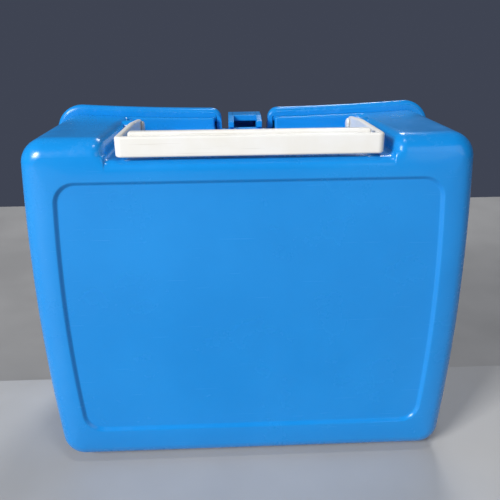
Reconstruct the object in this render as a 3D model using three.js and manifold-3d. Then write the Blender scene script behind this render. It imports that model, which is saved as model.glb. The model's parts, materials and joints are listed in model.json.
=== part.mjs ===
// A moulded plastic lunch box: a deep rear case and a shallow front cover that meet on an upright
// joint plane, hinged along the bottom edge on two steel pins, with a centre latch on the cover and
// a white bail handle that folds down into a recess along the case's rear top edge.
//
// Millimetres. +X to the right when facing the plain back, +Y from the back towards the cover,
// +Z up. The origin is under the middle of the box, on the surface that it stands on.

import * as THREE from "three";
import { mergeVertices } from "three/addons/utils/BufferGeometryUtils.js";
import Module from "manifold-3d";

const wasm = await Module();
wasm.setup();

// ---------- driving dimensions ----------
const DEPTH = 110; // back of the case to the front of the cover
const CASE_DEPTH = 93; // back of the case to the joint plane
const HALF_WIDTH = 114.5; // half the case's width, at mid height of its back
const SIDE_BOW = 3; // how far each side wall bows out between its corners
const DRAFT = 0.03; // how fast the sides widen towards the joint plane
const FOOT_HEIGHT = 3.2;
const CASE_TOP = 190; // height of the flat top, beside the handle recess
const TOP_DIP = 3.2; // how far the top edge sags at mid width, at the joint plane
const CORNER_RADIUS = 13; // corners of the case, seen from the back
const EDGE_RADIUS = 10; // rounding where the back turns into the sides
const WALL = 2.5;
const JOINT_GAP = 0.3; // between the case's mouth and the cover's rim

const PANEL_HALF = 96.1; // recessed plain panel in the back, at its corners
const PANEL_BOW = 2.3;
const PANEL_BOTTOM = 24;
const PANEL_TOP = 169.5;
const PANEL_CORNER = 11;
const PANEL_DEPTH = 1.6;
const PANEL_SLOPE = 2.2; // width of the sloping step round the panel

const RIM_SIDE = 2.9; // how far the cover's rim stands proud of the case at each side
const RIM_TOP = 5.5; // and above its top
const RIM_DEPTH = 9;
const BEAD_DEPTH = 0.75 * RIM_DEPTH; // the rest of the rim slopes down to the cover's sides
const BEAD_STEPS = [0, 0.1, 0.3, 0.5, 0.7, 0.9, 1]; // closer together where the bead turns down
const BEAD_ROUND = 0.4; // share of its overhang that the bead loses at both edges
const BEAD_END = 0.1; // share of it left where the slope meets the sides
const COVER_EDGE = 5; // rounding of the cover's front edge
const COVER_PANEL_INSET = 12; // from the cover's outline to its recessed front panel

const RECESS_HALF = 70.2; // handle recess along the rear top edge
const RECESS_FLOOR = 179.6;
const RECESS_BACK_WALL = 4; // thickness of the wall left between the recess and the joint plane
const RECESS_EDGE = 5; // rounding where the back turns into the recess floor
const RECESS_SIDE_EDGE = 4.5; // rounding of the corner blocks beside the recess
const WALL_NOTCH_HALF = 18.5; // gap in the recess's back wall, where the latch reaches through

const HANDLE_HALF = 64.5; // outside of the handle's arms
const STRAP = 3.2; // thickness of the handle's strap
const STRAP_BOTTOM = 181.3;
const STRAP_TOP = 191.2;
const STRAP_CORNER = 3.4;
const GRIP_HALF = 58.4; // thicker grip moulded behind the strap
const GRIP_DEPTH = 5.2;
const GRIP_GROOVE = 0.8; // line between the strap and the grip
const GRIP_TOP = 192.8;
const GRIP_ROUND = 1.8; // rounding of the grip's two long outer edges
const GRIP_WEB_INSET = 1.5; // web between strap and grip, in from the strap's edges
const STRAP_INNER_CORNER = 1.7;
const ARM_END_RADIUS = 4.4;
const ARM_TOP_TAPER = 25; // how far before the pivot an arm's top edge starts to slope down
const ARM_BOTTOM_TAPER = 8; // and its bottom edge to slope up
const HANDLE_PIVOT_INSET = 22; // pivot, in front of the joint plane
const HANDLE_PIVOT_Z = 185;
const HANDLE_PIN_RADIUS = 2;
const PIN_HEAD = 1.4; // thickness of a pin's head, and how far it overhangs the shank
const PIN_REACH = 5.5; // how far a pin goes into the case
const PIN_BOSS_REACH = 8; // the boss round a pin, from the recess's side wall outwards
const PIN_BOSS_HALF = 6;

const NOTCH_HALF = 14.4; // gap between the two wings of the cover's rim
const NOTCH_CORNER = 6;
const POCKET_FLOOR = 164.5;
const POCKET_WALL = 3;
const COVER_PANEL_BOTTOM = 19.2;
const COVER_PANEL_TOP = 156.5;
const LATCH_HALF = 10.25;
const LATCH_SIDE = 3.4; // thickness of the latch's side walls
const LATCH_TOP = 188.4;
const LATCH_TOP_WALL = 3.8;
const LATCH_FACE = 3; // thickness of its front plate
const LATCH_PIVOT_Z = 169.5;
const LATCH_BARREL = 3.5;
const LATCH_NOSE = 1.5; // chamfer along its front top edge
const LATCH_TOE_REACH = 12; // how far its toes reach back past the joint plane
const LATCH_TOE_DROP = 2.4; // how far the toes slope down to their ends
const LATCH_OPENING = 1.5; // from the joint plane to the front edge of the opening over the toes
const LATCH_HEEL = 4.5; // height of its back edge's lower end above the pivot
const CATCH_TOP = 181.8; // ridge on the recess floor, under the latch's toes
const CATCH_START = 11; // from the joint plane to the ridge's far side
const CATCH_LENGTH = 5;
const CATCH_SLOPE = 2; // width of its lead-in slope
const CATCH_CHAMFER = 1.5;

const HINGE_X = 62; // centre of each hinge
const HINGE_Z = 3;
const KNUCKLE_RADIUS = 2.7;
const KNUCKLE_HALF = 19.5; // half the length of one hinge
const MIDDLE_KNUCKLE = 6.6; // half the length of the cover's knuckle
const HINGE_PIN_RADIUS = 1.1;
const RUNNING_GAP = 0.3;
const HINGE_WEB = 4; // how far a barrel's web reaches along the floor of its shell
const HINGE_PAD = 3 * WALL; // thickness of the floor beside a hinge
const HINGE_PAD_DEPTH = 5;

const FOOT_LENGTH = 24;
const FOOT_WIDTH = 9;
const FOOT_INSET = 3; // from the start of the bottom's corner to a foot's outer end
const REAR_FOOT_START = 2; // from the back's edge rounding to the rear feet
const FRONT_FOOT_END = 6; // from the front feet to the joint plane

const BAIL_WIRE = 1.2; // radius of the wire that holds a bottle
const BAIL_X = 24;
const BAIL_REACH = 78;
const BAIL_LOW = 74;
const BAIL_HIGH = 117;
const BAIL_BEND = 5;
const BAIL_TURN = 3; // tighter bends where it turns into its lugs
const LUG_HEIGHT = 8; // the two lugs that it swings in
const LUG_HALF = 4.5;
const LUG_GAP = 4; // from a long run of the wire to the nearest lug
const LUG_REACH = 3; // how far a lug reaches past the wire's middle

// ---------- places worked out from them ----------
const BACK = -DEPTH / 2;
const FRONT = DEPTH / 2;
const JOINT = BACK + CASE_DEPTH;
const CASE_BOTTOM = FOOT_HEIGHT;
const MOUTH_HALF = HALF_WIDTH + DRAFT * CASE_DEPTH;
const INNER_BACK = BACK + WALL + PANEL_DEPTH;
const CASE_LIP = JOINT - JOINT_GAP / 2;
const COVER_LIP = JOINT + JOINT_GAP / 2;
const POCKET_BACK = COVER_LIP + WALL;
const RECESS_END = JOINT - RECESS_BACK_WALL;
const HANDLE_PIVOT_Y = JOINT - HANDLE_PIVOT_INSET;
const HANDLE_BACK = BACK + 0.2;
const LATCH_FRONT = FRONT - 0.8;
const LATCH_PIVOT_Y = LATCH_FRONT - LATCH_BARREL;
const LATCH_PIN_HALF = NOTCH_HALF + 1.6;
const BAIL_Y = INNER_BACK + 4;
const OVERLAP = 1; // how far a cutter or a joined solid runs past a face
const FAR = 400; // longer than the box, for cutters

// ---------- solids ----------
function solid(geometry) {
  const bare = geometry.index ? geometry.toNonIndexed() : geometry.clone();
  bare.deleteAttribute("normal");
  bare.deleteAttribute("uv");
  const merged = mergeVertices(bare, 1e-4);
  return new wasm.Manifold(
    new wasm.Mesh({
      numProp: 3,
      vertProperties: new Float32Array(merged.attributes.position.array),
      triVerts: new Uint32Array(merged.index.array),
    }),
  );
}

function geometryOf(manifold) {
  const { vertProperties, triVerts } = manifold.getMesh();
  const geometry = new THREE.BufferGeometry();
  geometry.setAttribute("position", new THREE.BufferAttribute(vertProperties, 3));
  geometry.setIndex(new THREE.BufferAttribute(triVerts, 1));
  const flat = geometry.toNonIndexed();
  flat.computeVertexNormals();
  return flat;
}

const joined = (...parts) => parts.reduce((whole, part) => whole.add(part));
const without = (whole, ...cuts) => cuts.reduce((rest, cut) => rest.subtract(cut), whole);

function box(x0, x1, y0, y1, z0, z1) {
  const geometry = new THREE.BoxGeometry(x1 - x0, y1 - y0, z1 - z0);
  geometry.translate((x0 + x1) / 2, (y0 + y1) / 2, (z0 + z1) / 2);
  return solid(geometry);
}

// An outline carried in a straight line. The three forms differ only in the axis they run along.
function extrusion(shape, length, curveSegments, ...axes) {
  const options = { depth: length, bevelEnabled: false, curveSegments };
  const geometry = new THREE.ExtrudeGeometry(shape, options);
  geometry.applyMatrix4(new THREE.Matrix4().makeBasis(...axes));
  return geometry;
}

const X_AXIS = new THREE.Vector3(1, 0, 0);
const Y_AXIS = new THREE.Vector3(0, 1, 0);
const Z_AXIS = new THREE.Vector3(0, 0, 1);

// Outline in Y and Z, from x0 to x1.
function alongX(shape, x0, x1, curveSegments = 6) {
  return solid(extrusion(shape, x1 - x0, curveSegments, Y_AXIS, Z_AXIS, X_AXIS).translate(x0, 0, 0));
}

// Outline in X and Z, from y0 to y1.
function alongY(shape, y0, y1, curveSegments = 6) {
  const towardsBack = Y_AXIS.clone().negate();
  return solid(
    extrusion(shape, y1 - y0, curveSegments, X_AXIS, Z_AXIS, towardsBack).translate(0, y1, 0),
  );
}

// Outline in X and Y, from z0 to z1.
function alongZ(shape, z0, z1, curveSegments = 6) {
  return solid(extrusion(shape, z1 - z0, curveSegments, X_AXIS, Y_AXIS, Z_AXIS).translate(0, 0, z0));
}

function rodAlongX(y, z, radius, x0, x1, segments = 24) {
  const geometry = new THREE.CylinderGeometry(radius, radius, x1 - x0, segments);
  geometry.rotateZ(Math.PI / 2).translate((x0 + x1) / 2, y, z);
  return solid(geometry);
}

function rodAlongZ(x, y, radius, z0, z1, segments = 16) {
  const geometry = new THREE.CylinderGeometry(radius, radius, z1 - z0, segments);
  geometry.rotateX(Math.PI / 2).translate(x, y, (z0 + z1) / 2);
  return solid(geometry);
}

function polygon(...corners) {
  return new THREE.Shape(corners.map(([across, up]) => new THREE.Vector2(across, up)));
}

// Two distances from the middle, on one side of the box, with the lower x first.
const span = (side, from, to) => [side * from, side * to].sort((a, b) => a - b);

// ---------- the box's section, seen from the back ----------
const CORNER_STEPS = 6;
const SIDE_STEPS = 10;
const TOP_STEPS = 16;

// A closed outline: round corners, sides that bow out, a straight bottom and a top edge that dips.
// The bow and the dip are parabolas, so they are nothing where the corners begin.
function sectionOutline({ half, bow, bottom, top, corner, dip }) {
  const end = half - bow;
  const points = [];
  const arc = (x, z, fromQuarter) => {
    for (let i = 0; i <= CORNER_STEPS; i++) {
      const angle = ((fromQuarter + i / CORNER_STEPS) * Math.PI) / 2;
      points.push(new THREE.Vector2(x + corner * Math.cos(angle), z + corner * Math.sin(angle)));
    }
  };
  const between = (steps, place) => {
    for (let i = 1; i < steps; i++) points.push(place(-1 + (2 * i) / steps));
  };
  const middle = (bottom + top) / 2;
  const sideReach = (top - bottom) / 2 - corner;
  const topReach = end - corner;
  const side = (sign) => (t) =>
    new THREE.Vector2(sign * (end + bow * (1 - t * t)), middle + sign * t * sideReach);
  arc(end - corner, bottom + corner, -1);
  between(SIDE_STEPS, side(1));
  arc(end - corner, top - corner, 0);
  between(TOP_STEPS, (t) => new THREE.Vector2(-t * topReach, top - dip * (1 - t * t)));
  arc(corner - end, top - corner, 1);
  between(SIDE_STEPS, side(-1));
  arc(corner - end, bottom + corner, 2);
  return points;
}

// A closed solid through outlines of the same number of points, each at its own y.
function loft(rings) {
  const positions = rings.flatMap(({ y, points }) => points.flatMap((p) => [p.x, y, p.y]));
  const count = rings[0].points.length;
  const index = [];
  for (let ring = 0; ring + 1 < rings.length; ring++) {
    for (let i = 0; i < count; i++) {
      const near = ring * count + i;
      const nearNext = ring * count + ((i + 1) % count);
      index.push(near, nearNext + count, nearNext, near, near + count, nearNext + count);
    }
  }
  const last = (rings.length - 1) * count;
  for (const [a, b, c] of THREE.ShapeUtils.triangulateShape(rings[0].points, [])) {
    index.push(a, b, c);
  }
  for (const [a, b, c] of THREE.ShapeUtils.triangulateShape(rings.at(-1).points, [])) {
    index.push(last + a, last + c, last + b);
  }
  const geometry = new THREE.BufferGeometry();
  geometry.setAttribute("position", new THREE.Float32BufferAttribute(positions, 3));
  geometry.setIndex(index);
  return solid(geometry);
}

// The case's section at a depth, drawn in by inset.
function caseRing(y, inset) {
  const share = (y - BACK) / CASE_DEPTH;
  return {
    y,
    points: sectionOutline({
      half: HALF_WIDTH + DRAFT * (y - BACK) - inset,
      bow: SIDE_BOW,
      bottom: CASE_BOTTOM + inset,
      top: CASE_TOP - inset,
      corner: CORNER_RADIUS - inset,
      dip: TOP_DIP * share,
    }),
  };
}

// A quarter round from a flat end to straight sides: how far along, and how far drawn in.
const EDGE_STEPS = 5;
function quarterRound(radius) {
  return Array.from({ length: EDGE_STEPS + 1 }, (_, i) => {
    const angle = ((i / EDGE_STEPS) * Math.PI) / 2;
    return { along: radius * (1 - Math.cos(angle)), inset: radius * (1 - Math.sin(angle)) };
  });
}

// A shallow panel with a sloping step, as a cutter that starts outside the face at y = face.
function panelCutter(face, inward, half, bottom, top) {
  const ring = (y, inset) => ({
    y,
    points: sectionOutline({
      half: half - inset,
      bow: PANEL_BOW,
      bottom: bottom + inset,
      top: top - inset,
      corner: PANEL_CORNER - inset,
      dip: 0,
    }),
  });
  const outside = ring(face - inward * PANEL_DEPTH, -PANEL_SLOPE);
  const floor = ring(face + inward * PANEL_DEPTH, PANEL_SLOPE / 2);
  return loft(inward > 0 ? [outside, floor] : [floor, outside]);
}

// ---------- rear case ----------
function caseShell() {
  const outer = loft([
    ...quarterRound(EDGE_RADIUS).map(({ along, inset }) => caseRing(BACK + along, inset)),
    caseRing(JOINT - JOINT_GAP / 2, 0),
  ]);
  const hollow = loft([
    ...quarterRound(EDGE_RADIUS - WALL).map(({ along, inset }) =>
      caseRing(INNER_BACK + along, WALL + inset),
    ),
    caseRing(JOINT + WALL, WALL),
  ]);
  const side = RECESS_HALF + WALL;
  const underRecess = box(-side, side, BACK, FRONT, RECESS_FLOOR - WALL, FAR);
  return without(outer, without(hollow, underRecess));
}

// The recess is open to the back and the top. In plan its two outer corners flare out, so that
// the blocks beside it are rounded, and its two inner corners are round.
function recessCutter() {
  const outside = BACK - WALL;
  const plan = new THREE.Shape();
  plan.moveTo(-RECESS_HALF - RECESS_SIDE_EDGE, outside);
  plan.lineTo(RECESS_HALF + RECESS_SIDE_EDGE, outside);
  plan.lineTo(RECESS_HALF + RECESS_SIDE_EDGE, BACK);
  const flare = BACK + RECESS_SIDE_EDGE;
  plan.absarc(RECESS_HALF + RECESS_SIDE_EDGE, flare, RECESS_SIDE_EDGE, -Math.PI / 2, Math.PI, true);
  plan.absarc(RECESS_HALF - WALL, RECESS_END - WALL, WALL, 0, Math.PI / 2);
  plan.absarc(WALL - RECESS_HALF, RECESS_END - WALL, WALL, Math.PI / 2, Math.PI);
  plan.absarc(-RECESS_HALF - RECESS_SIDE_EDGE, flare, RECESS_SIDE_EDGE, 0, -Math.PI / 2, true);
  return alongZ(plan, RECESS_FLOOR, FAR, 4);
}

// Takes the sharp edge off where the back turns into the recess floor.
function recessEdgeCutter() {
  const start = RECESS_FLOOR - RECESS_EDGE;
  const outside = BACK - WALL;
  const section = new THREE.Shape();
  section.moveTo(outside, start);
  section.lineTo(BACK, start);
  section.absarc(BACK + RECESS_EDGE, start, RECESS_EDGE, Math.PI, Math.PI / 2, true);
  section.lineTo(BACK + RECESS_EDGE, RECESS_FLOOR + WALL);
  section.lineTo(outside, RECESS_FLOOR + WALL);
  return alongX(section, -RECESS_HALF, RECESS_HALF, 4);
}

// Hinge barrels lie across the joint plane: a web ties each to the bottom of its own shell.
function knuckle(x0, x1, towards) {
  const web = polygon(
    [JOINT, HINGE_Z - KNUCKLE_RADIUS],
    [JOINT + towards * HINGE_WEB, CASE_BOTTOM],
    [JOINT + towards * HINGE_WEB, CASE_BOTTOM + WALL],
    [JOINT, HINGE_Z + KNUCKLE_RADIUS],
  );
  return joined(rodAlongX(JOINT, HINGE_Z, KNUCKLE_RADIUS, x0, x1), alongX(web, x0, x1));
}

const HINGE_SIDES = [-1, 1];
const caseKnuckleSpans = HINGE_SIDES.flatMap((side) => [
  [side * HINGE_X - KNUCKLE_HALF, side * HINGE_X - MIDDLE_KNUCKLE - 2 * RUNNING_GAP],
  [side * HINGE_X + MIDDLE_KNUCKLE + 2 * RUNNING_GAP, side * HINGE_X + KNUCKLE_HALF],
]);
const coverKnuckleSpans = HINGE_SIDES.map((side) => [
  side * HINGE_X - MIDDLE_KNUCKLE,
  side * HINGE_X + MIDDLE_KNUCKLE,
]);

// Room round the other shell's barrels, a little longer and wider than they are.
function knuckleRoom([x0, x1]) {
  const gap = 2 * RUNNING_GAP;
  return rodAlongX(JOINT, HINGE_Z, KNUCKLE_RADIUS + gap, x0 - gap, x1 + gap);
}

// The floor is thicker behind the barrels, so that their room doesn't open the shell.
function hingePad(side, y0, y1) {
  const middle = side * HINGE_X;
  const half = KNUCKLE_HALF + WALL;
  return box(middle - half, middle + half, y0, y1, CASE_BOTTOM, CASE_BOTTOM + HINGE_PAD);
}

function hingeBore(side) {
  const half = KNUCKLE_HALF + WALL;
  const radius = HINGE_PIN_RADIUS + RUNNING_GAP;
  return rodAlongX(JOINT, HINGE_Z, radius, side * HINGE_X - half, side * HINGE_X + half, 16);
}

function feet() {
  const rows = [BACK + EDGE_RADIUS + REAR_FOOT_START, JOINT - FRONT_FOOT_END - FOOT_WIDTH];
  const inside = MOUTH_HALF - SIDE_BOW - CORNER_RADIUS - FOOT_INSET;
  return HINGE_SIDES.flatMap((side) =>
    rows.map((y) => {
      const [x0, x1] = span(side, inside - FOOT_LENGTH, inside);
      return box(x0, x1, y, y + FOOT_WIDTH, 0, CASE_BOTTOM + WALL / 2);
    }),
  );
}

// Two lugs on the inside of the back, each with an upright hole for one end of the wire bail.
function bailLugs() {
  const bore = BAIL_WIRE + RUNNING_GAP;
  const [x0, x1] = [BAIL_X - LUG_HALF, BAIL_X + LUG_HALF];
  return [BAIL_LOW - LUG_GAP - LUG_HEIGHT, BAIL_HIGH + LUG_GAP].map((z) =>
    without(
      box(x0, x1, INNER_BACK - WALL / 2, BAIL_Y + LUG_REACH, z, z + LUG_HEIGHT),
      rodAlongZ(BAIL_X, BAIL_Y, bore, z - OVERLAP, z + LUG_HEIGHT + OVERLAP),
    ),
  );
}

// A low ridge across the recess floor, sloped on the side that faces the back.
function catchRidge() {
  const start = JOINT - CATCH_START;
  const end = start + CATCH_LENGTH;
  const section = polygon(
    [start, RECESS_FLOOR - OVERLAP],
    [end, RECESS_FLOOR - OVERLAP],
    [end, CATCH_TOP - OVERLAP],
    [end - CATCH_CHAMFER, CATCH_TOP],
    [start + CATCH_SLOPE, CATCH_TOP],
  );
  return alongX(section, -LATCH_HALF, LATCH_HALF);
}

// Behind each side wall of the recess a block gives the handle's pin something to sit in.
function pinBoss(side) {
  const [x0, x1] = span(side, RECESS_HALF + WALL - OVERLAP / 2, RECESS_HALF + PIN_BOSS_REACH);
  const top = CASE_TOP - WALL / 2 - TOP_DIP / 2;
  return box(
    x0,
    x1,
    HANDLE_PIVOT_Y - PIN_BOSS_HALF,
    HANDLE_PIVOT_Y + PIN_BOSS_HALF,
    RECESS_FLOOR - WALL,
    top,
  );
}

function pinBore(side) {
  const [x0, x1] = span(side, RECESS_HALF - 2 * OVERLAP, RECESS_HALF + PIN_REACH + OVERLAP / 2);
  return rodAlongX(HANDLE_PIVOT_Y, HANDLE_PIVOT_Z, HANDLE_PIN_RADIUS + RUNNING_GAP, x0, x1);
}

function rearCase() {
  const body = without(
    caseShell(),
    recessCutter(),
    recessEdgeCutter(),
    panelCutter(BACK, 1, PANEL_HALF + PANEL_BOW, PANEL_BOTTOM, PANEL_TOP),
    box(-WALL_NOTCH_HALF, WALL_NOTCH_HALF, RECESS_END - OVERLAP, FRONT, RECESS_FLOOR, FAR),
  );
  const pads = HINGE_SIDES.map((side) => hingePad(side, CASE_LIP - HINGE_PAD_DEPTH, CASE_LIP));
  const whole = joined(body, catchRidge(), ...pads, ...feet(), ...bailLugs());
  const roomed = without(whole, ...coverKnuckleSpans.map(knuckleRoom));
  const barrels = caseKnuckleSpans.map(([x0, x1]) => knuckle(x0, x1, -1));
  return without(
    joined(roomed, ...barrels, ...HINGE_SIDES.map(pinBoss)),
    ...HINGE_SIDES.map(hingeBore),
    ...HINGE_SIDES.map(pinBore),
  );
}

// ---------- front cover ----------
// The cover's section: proud says how much of the rim's overhang it has, from 0 to 1.
function coverRing(y, proud, inset) {
  return {
    y,
    points: sectionOutline({
      half: MOUTH_HALF + RIM_SIDE * proud - inset,
      bow: SIDE_BOW,
      bottom: CASE_BOTTOM + inset,
      top: CASE_TOP + RIM_TOP * proud - inset,
      corner: CORNER_RADIUS + RIM_SIDE * proud - inset,
      dip: TOP_DIP,
    }),
  };
}

function coverShell() {
  const bead = BEAD_STEPS.map((share) => {
    const proud = 1 - BEAD_ROUND * (2 * share - 1) ** 4;
    return coverRing(COVER_LIP + share * BEAD_DEPTH, proud, 0);
  });
  const front = quarterRound(COVER_EDGE)
    .reverse()
    .map(({ along, inset }) => coverRing(FRONT - along, 0, inset));
  const outer = loft([...bead, coverRing(COVER_LIP + RIM_DEPTH, BEAD_END, 0), ...front]);
  const innerFront = FRONT - WALL - PANEL_DEPTH;
  const hollow = loft([
    coverRing(JOINT - WALL, 0, WALL),
    ...quarterRound(COVER_EDGE - WALL)
      .reverse()
      .map(({ along, inset }) => coverRing(innerFront - along, 0, WALL + inset)),
  ]);
  const half = NOTCH_HALF + POCKET_WALL;
  const pocketBlock = box(-half, half, JOINT, FRONT + OVERLAP, POCKET_FLOOR - POCKET_WALL, FAR);
  return without(outer, without(hollow, pocketBlock));
}

// The gap between the rim's two wings, with the wings' corners rounded.
function wingGap() {
  const wingTop = CASE_TOP + RIM_TOP - TOP_DIP;
  const turn = NOTCH_HALF + NOTCH_CORNER;
  const low = wingTop - NOTCH_CORNER;
  const gap = new THREE.Shape();
  gap.moveTo(-NOTCH_HALF, RECESS_FLOOR);
  gap.lineTo(NOTCH_HALF, RECESS_FLOOR);
  gap.absarc(turn, low, NOTCH_CORNER, Math.PI, Math.PI / 2, true);
  gap.lineTo(turn, CASE_TOP + 2 * RIM_TOP);
  gap.lineTo(-turn, CASE_TOP + 2 * RIM_TOP);
  gap.absarc(-turn, low, NOTCH_CORNER, Math.PI / 2, 0, true);
  return alongY(gap, JOINT - OVERLAP, FRONT + OVERLAP, 4);
}

function frontCover() {
  const panelHalf = MOUTH_HALF - SIDE_BOW - COVER_PANEL_INSET + PANEL_BOW;
  const body = without(
    coverShell(),
    wingGap(),
    box(-NOTCH_HALF, NOTCH_HALF, POCKET_BACK, FRONT + OVERLAP, POCKET_FLOOR, FAR),
    panelCutter(FRONT, -1, panelHalf, COVER_PANEL_BOTTOM, COVER_PANEL_TOP),
  );
  const pads = HINGE_SIDES.map((side) => hingePad(side, COVER_LIP, COVER_LIP + HINGE_PAD_DEPTH));
  const roomed = without(joined(body, ...pads), ...caseKnuckleSpans.map(knuckleRoom));
  const barrels = coverKnuckleSpans.map(([x0, x1]) => knuckle(x0, x1, 1));
  const bores = [...HINGE_SIDES.map(hingeBore), latchBore(LATCH_PIN_HALF + RUNNING_GAP)];
  return without(joined(roomed, ...barrels), ...bores);
}

// ---------- carrying handle ----------
// Seen from the side an arm runs level from the grip, then tapers into a round end at the pivot.
function armSection() {
  const arm = new THREE.Shape();
  arm.moveTo(HANDLE_BACK, STRAP_BOTTOM);
  arm.lineTo(HANDLE_PIVOT_Y - ARM_BOTTOM_TAPER, STRAP_BOTTOM);
  arm.lineTo(HANDLE_PIVOT_Y, HANDLE_PIVOT_Z - ARM_END_RADIUS);
  arm.absarc(HANDLE_PIVOT_Y, HANDLE_PIVOT_Z, ARM_END_RADIUS, -Math.PI / 2, Math.PI / 2);
  arm.lineTo(HANDLE_PIVOT_Y - ARM_TOP_TAPER, STRAP_TOP);
  arm.lineTo(HANDLE_BACK, STRAP_TOP);
  return arm;
}

// Plan of the strap: a U open towards the joint plane, round at its two outer corners.
function strapPlan() {
  const outer = HANDLE_HALF - STRAP_CORNER;
  const outerY = HANDLE_BACK + STRAP_CORNER;
  const inner = HANDLE_HALF - STRAP - STRAP_INNER_CORNER;
  const innerY = HANDLE_BACK + STRAP + STRAP_INNER_CORNER;
  const plan = new THREE.Shape();
  plan.moveTo(-HANDLE_HALF, JOINT);
  plan.lineTo(-HANDLE_HALF, outerY);
  plan.absarc(-outer, outerY, STRAP_CORNER, Math.PI, 1.5 * Math.PI);
  plan.absarc(outer, outerY, STRAP_CORNER, 1.5 * Math.PI, 2 * Math.PI);
  plan.lineTo(HANDLE_HALF, JOINT);
  plan.lineTo(HANDLE_HALF - STRAP, JOINT);
  plan.absarc(inner, innerY, STRAP_INNER_CORNER, 0, -Math.PI / 2, true);
  plan.absarc(-inner, innerY, STRAP_INNER_CORNER, -Math.PI / 2, -Math.PI, true);
  plan.lineTo(STRAP - HANDLE_HALF, JOINT);
  return plan;
}

// The grip is a bar behind the strap, flat towards it and round on its two far edges.
function gripBar() {
  const start = HANDLE_BACK + STRAP + GRIP_GROOVE;
  const turn = start + GRIP_DEPTH - GRIP_ROUND;
  const section = new THREE.Shape();
  section.moveTo(start, STRAP_BOTTOM);
  section.lineTo(turn, STRAP_BOTTOM);
  section.absarc(turn, STRAP_BOTTOM + GRIP_ROUND, GRIP_ROUND, -Math.PI / 2, 0);
  section.absarc(turn, GRIP_TOP - GRIP_ROUND, GRIP_ROUND, 0, Math.PI / 2);
  section.lineTo(start, GRIP_TOP);
  const web = box(
    -GRIP_HALF,
    GRIP_HALF,
    HANDLE_BACK + STRAP / 2,
    start + OVERLAP,
    STRAP_BOTTOM + GRIP_WEB_INSET,
    STRAP_TOP - GRIP_WEB_INSET,
  );
  return joined(alongX(section, -GRIP_HALF, GRIP_HALF), web);
}

function carryHandle() {
  const strap = alongZ(strapPlan(), STRAP_BOTTOM - 2 * OVERLAP, GRIP_TOP, 5);
  const outline = alongX(armSection(), -HANDLE_HALF - OVERLAP, HANDLE_HALF + OVERLAP, 8);
  const bores = HINGE_SIDES.map((side) => {
    const ends = span(side, HANDLE_HALF - STRAP - OVERLAP, HANDLE_HALF + OVERLAP);
    return rodAlongX(HANDLE_PIVOT_Y, HANDLE_PIVOT_Z, HANDLE_PIN_RADIUS + RUNNING_GAP, ...ends);
  });
  return without(joined(strap.intersect(outline), gripBar()), ...bores);
}

// A headed pin: the head shows inside the arm, the shank runs through it into the case.
function handlePin(side) {
  const headEnd = HANDLE_HALF - STRAP - RUNNING_GAP;
  const rod = (radius, from, to) =>
    rodAlongX(HANDLE_PIVOT_Y, HANDLE_PIVOT_Z, radius, ...span(side, from, to));
  return joined(
    rod(HANDLE_PIN_RADIUS, headEnd - PIN_HEAD / 2, RECESS_HALF + PIN_REACH),
    rod(HANDLE_PIN_RADIUS + PIN_HEAD, headEnd - PIN_HEAD, headEnd),
  );
}

// ---------- latch ----------
function latchBore(half) {
  const radius = HINGE_PIN_RADIUS + RUNNING_GAP;
  return rodAlongX(LATCH_PIVOT_Y, LATCH_PIVOT_Z, radius, -half, half, 16);
}

// A hollow pull: front plate, top wall and two side walls whose toes reach back over the catch.
function latch() {
  const back = POCKET_BACK + 2 * RUNNING_GAP;
  const toe = JOINT - LATCH_TOE_REACH;
  const toeBottom = CATCH_TOP + RUNNING_GAP;
  const opening = JOINT - LATCH_OPENING;
  const side = polygon(
    [LATCH_PIVOT_Y, LATCH_PIVOT_Z - LATCH_BARREL],
    [LATCH_FRONT, LATCH_PIVOT_Z],
    [LATCH_FRONT, LATCH_TOP - LATCH_NOSE],
    [LATCH_FRONT - LATCH_NOSE, LATCH_TOP],
    [opening, LATCH_TOP],
    [toe, LATCH_TOP - LATCH_TOE_DROP],
    [toe, toeBottom],
    [back, toeBottom],
    [back, LATCH_PIVOT_Z + LATCH_HEEL],
  );
  const inside = LATCH_HALF - LATCH_SIDE;
  const hollow = box(
    -inside,
    inside,
    toe - OVERLAP,
    LATCH_FRONT - LATCH_FACE,
    LATCH_PIVOT_Z + LATCH_FACE,
    LATCH_TOP - LATCH_TOP_WALL,
  );
  const overToes = box(
    -inside,
    inside,
    toe - OVERLAP,
    opening,
    toeBottom - OVERLAP,
    LATCH_TOP + OVERLAP,
  );
  const block = alongX(side, -LATCH_HALF, LATCH_HALF);
  const barrel = rodAlongX(LATCH_PIVOT_Y, LATCH_PIVOT_Z, LATCH_BARREL, -LATCH_HALF, LATCH_HALF);
  return without(joined(block, barrel), hollow, overToes, latchBore(LATCH_HALF + OVERLAP));
}

function latchPin() {
  const half = LATCH_PIN_HALF;
  return rodAlongX(LATCH_PIVOT_Y, LATCH_PIVOT_Z, HINGE_PIN_RADIUS, -half, half, 16);
}

function hingePin(side) {
  const middle = side * HINGE_X;
  const half = KNUCKLE_HALF - RUNNING_GAP;
  return rodAlongX(JOINT, HINGE_Z, HINGE_PIN_RADIUS, middle - half, middle + half, 16);
}

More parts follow.
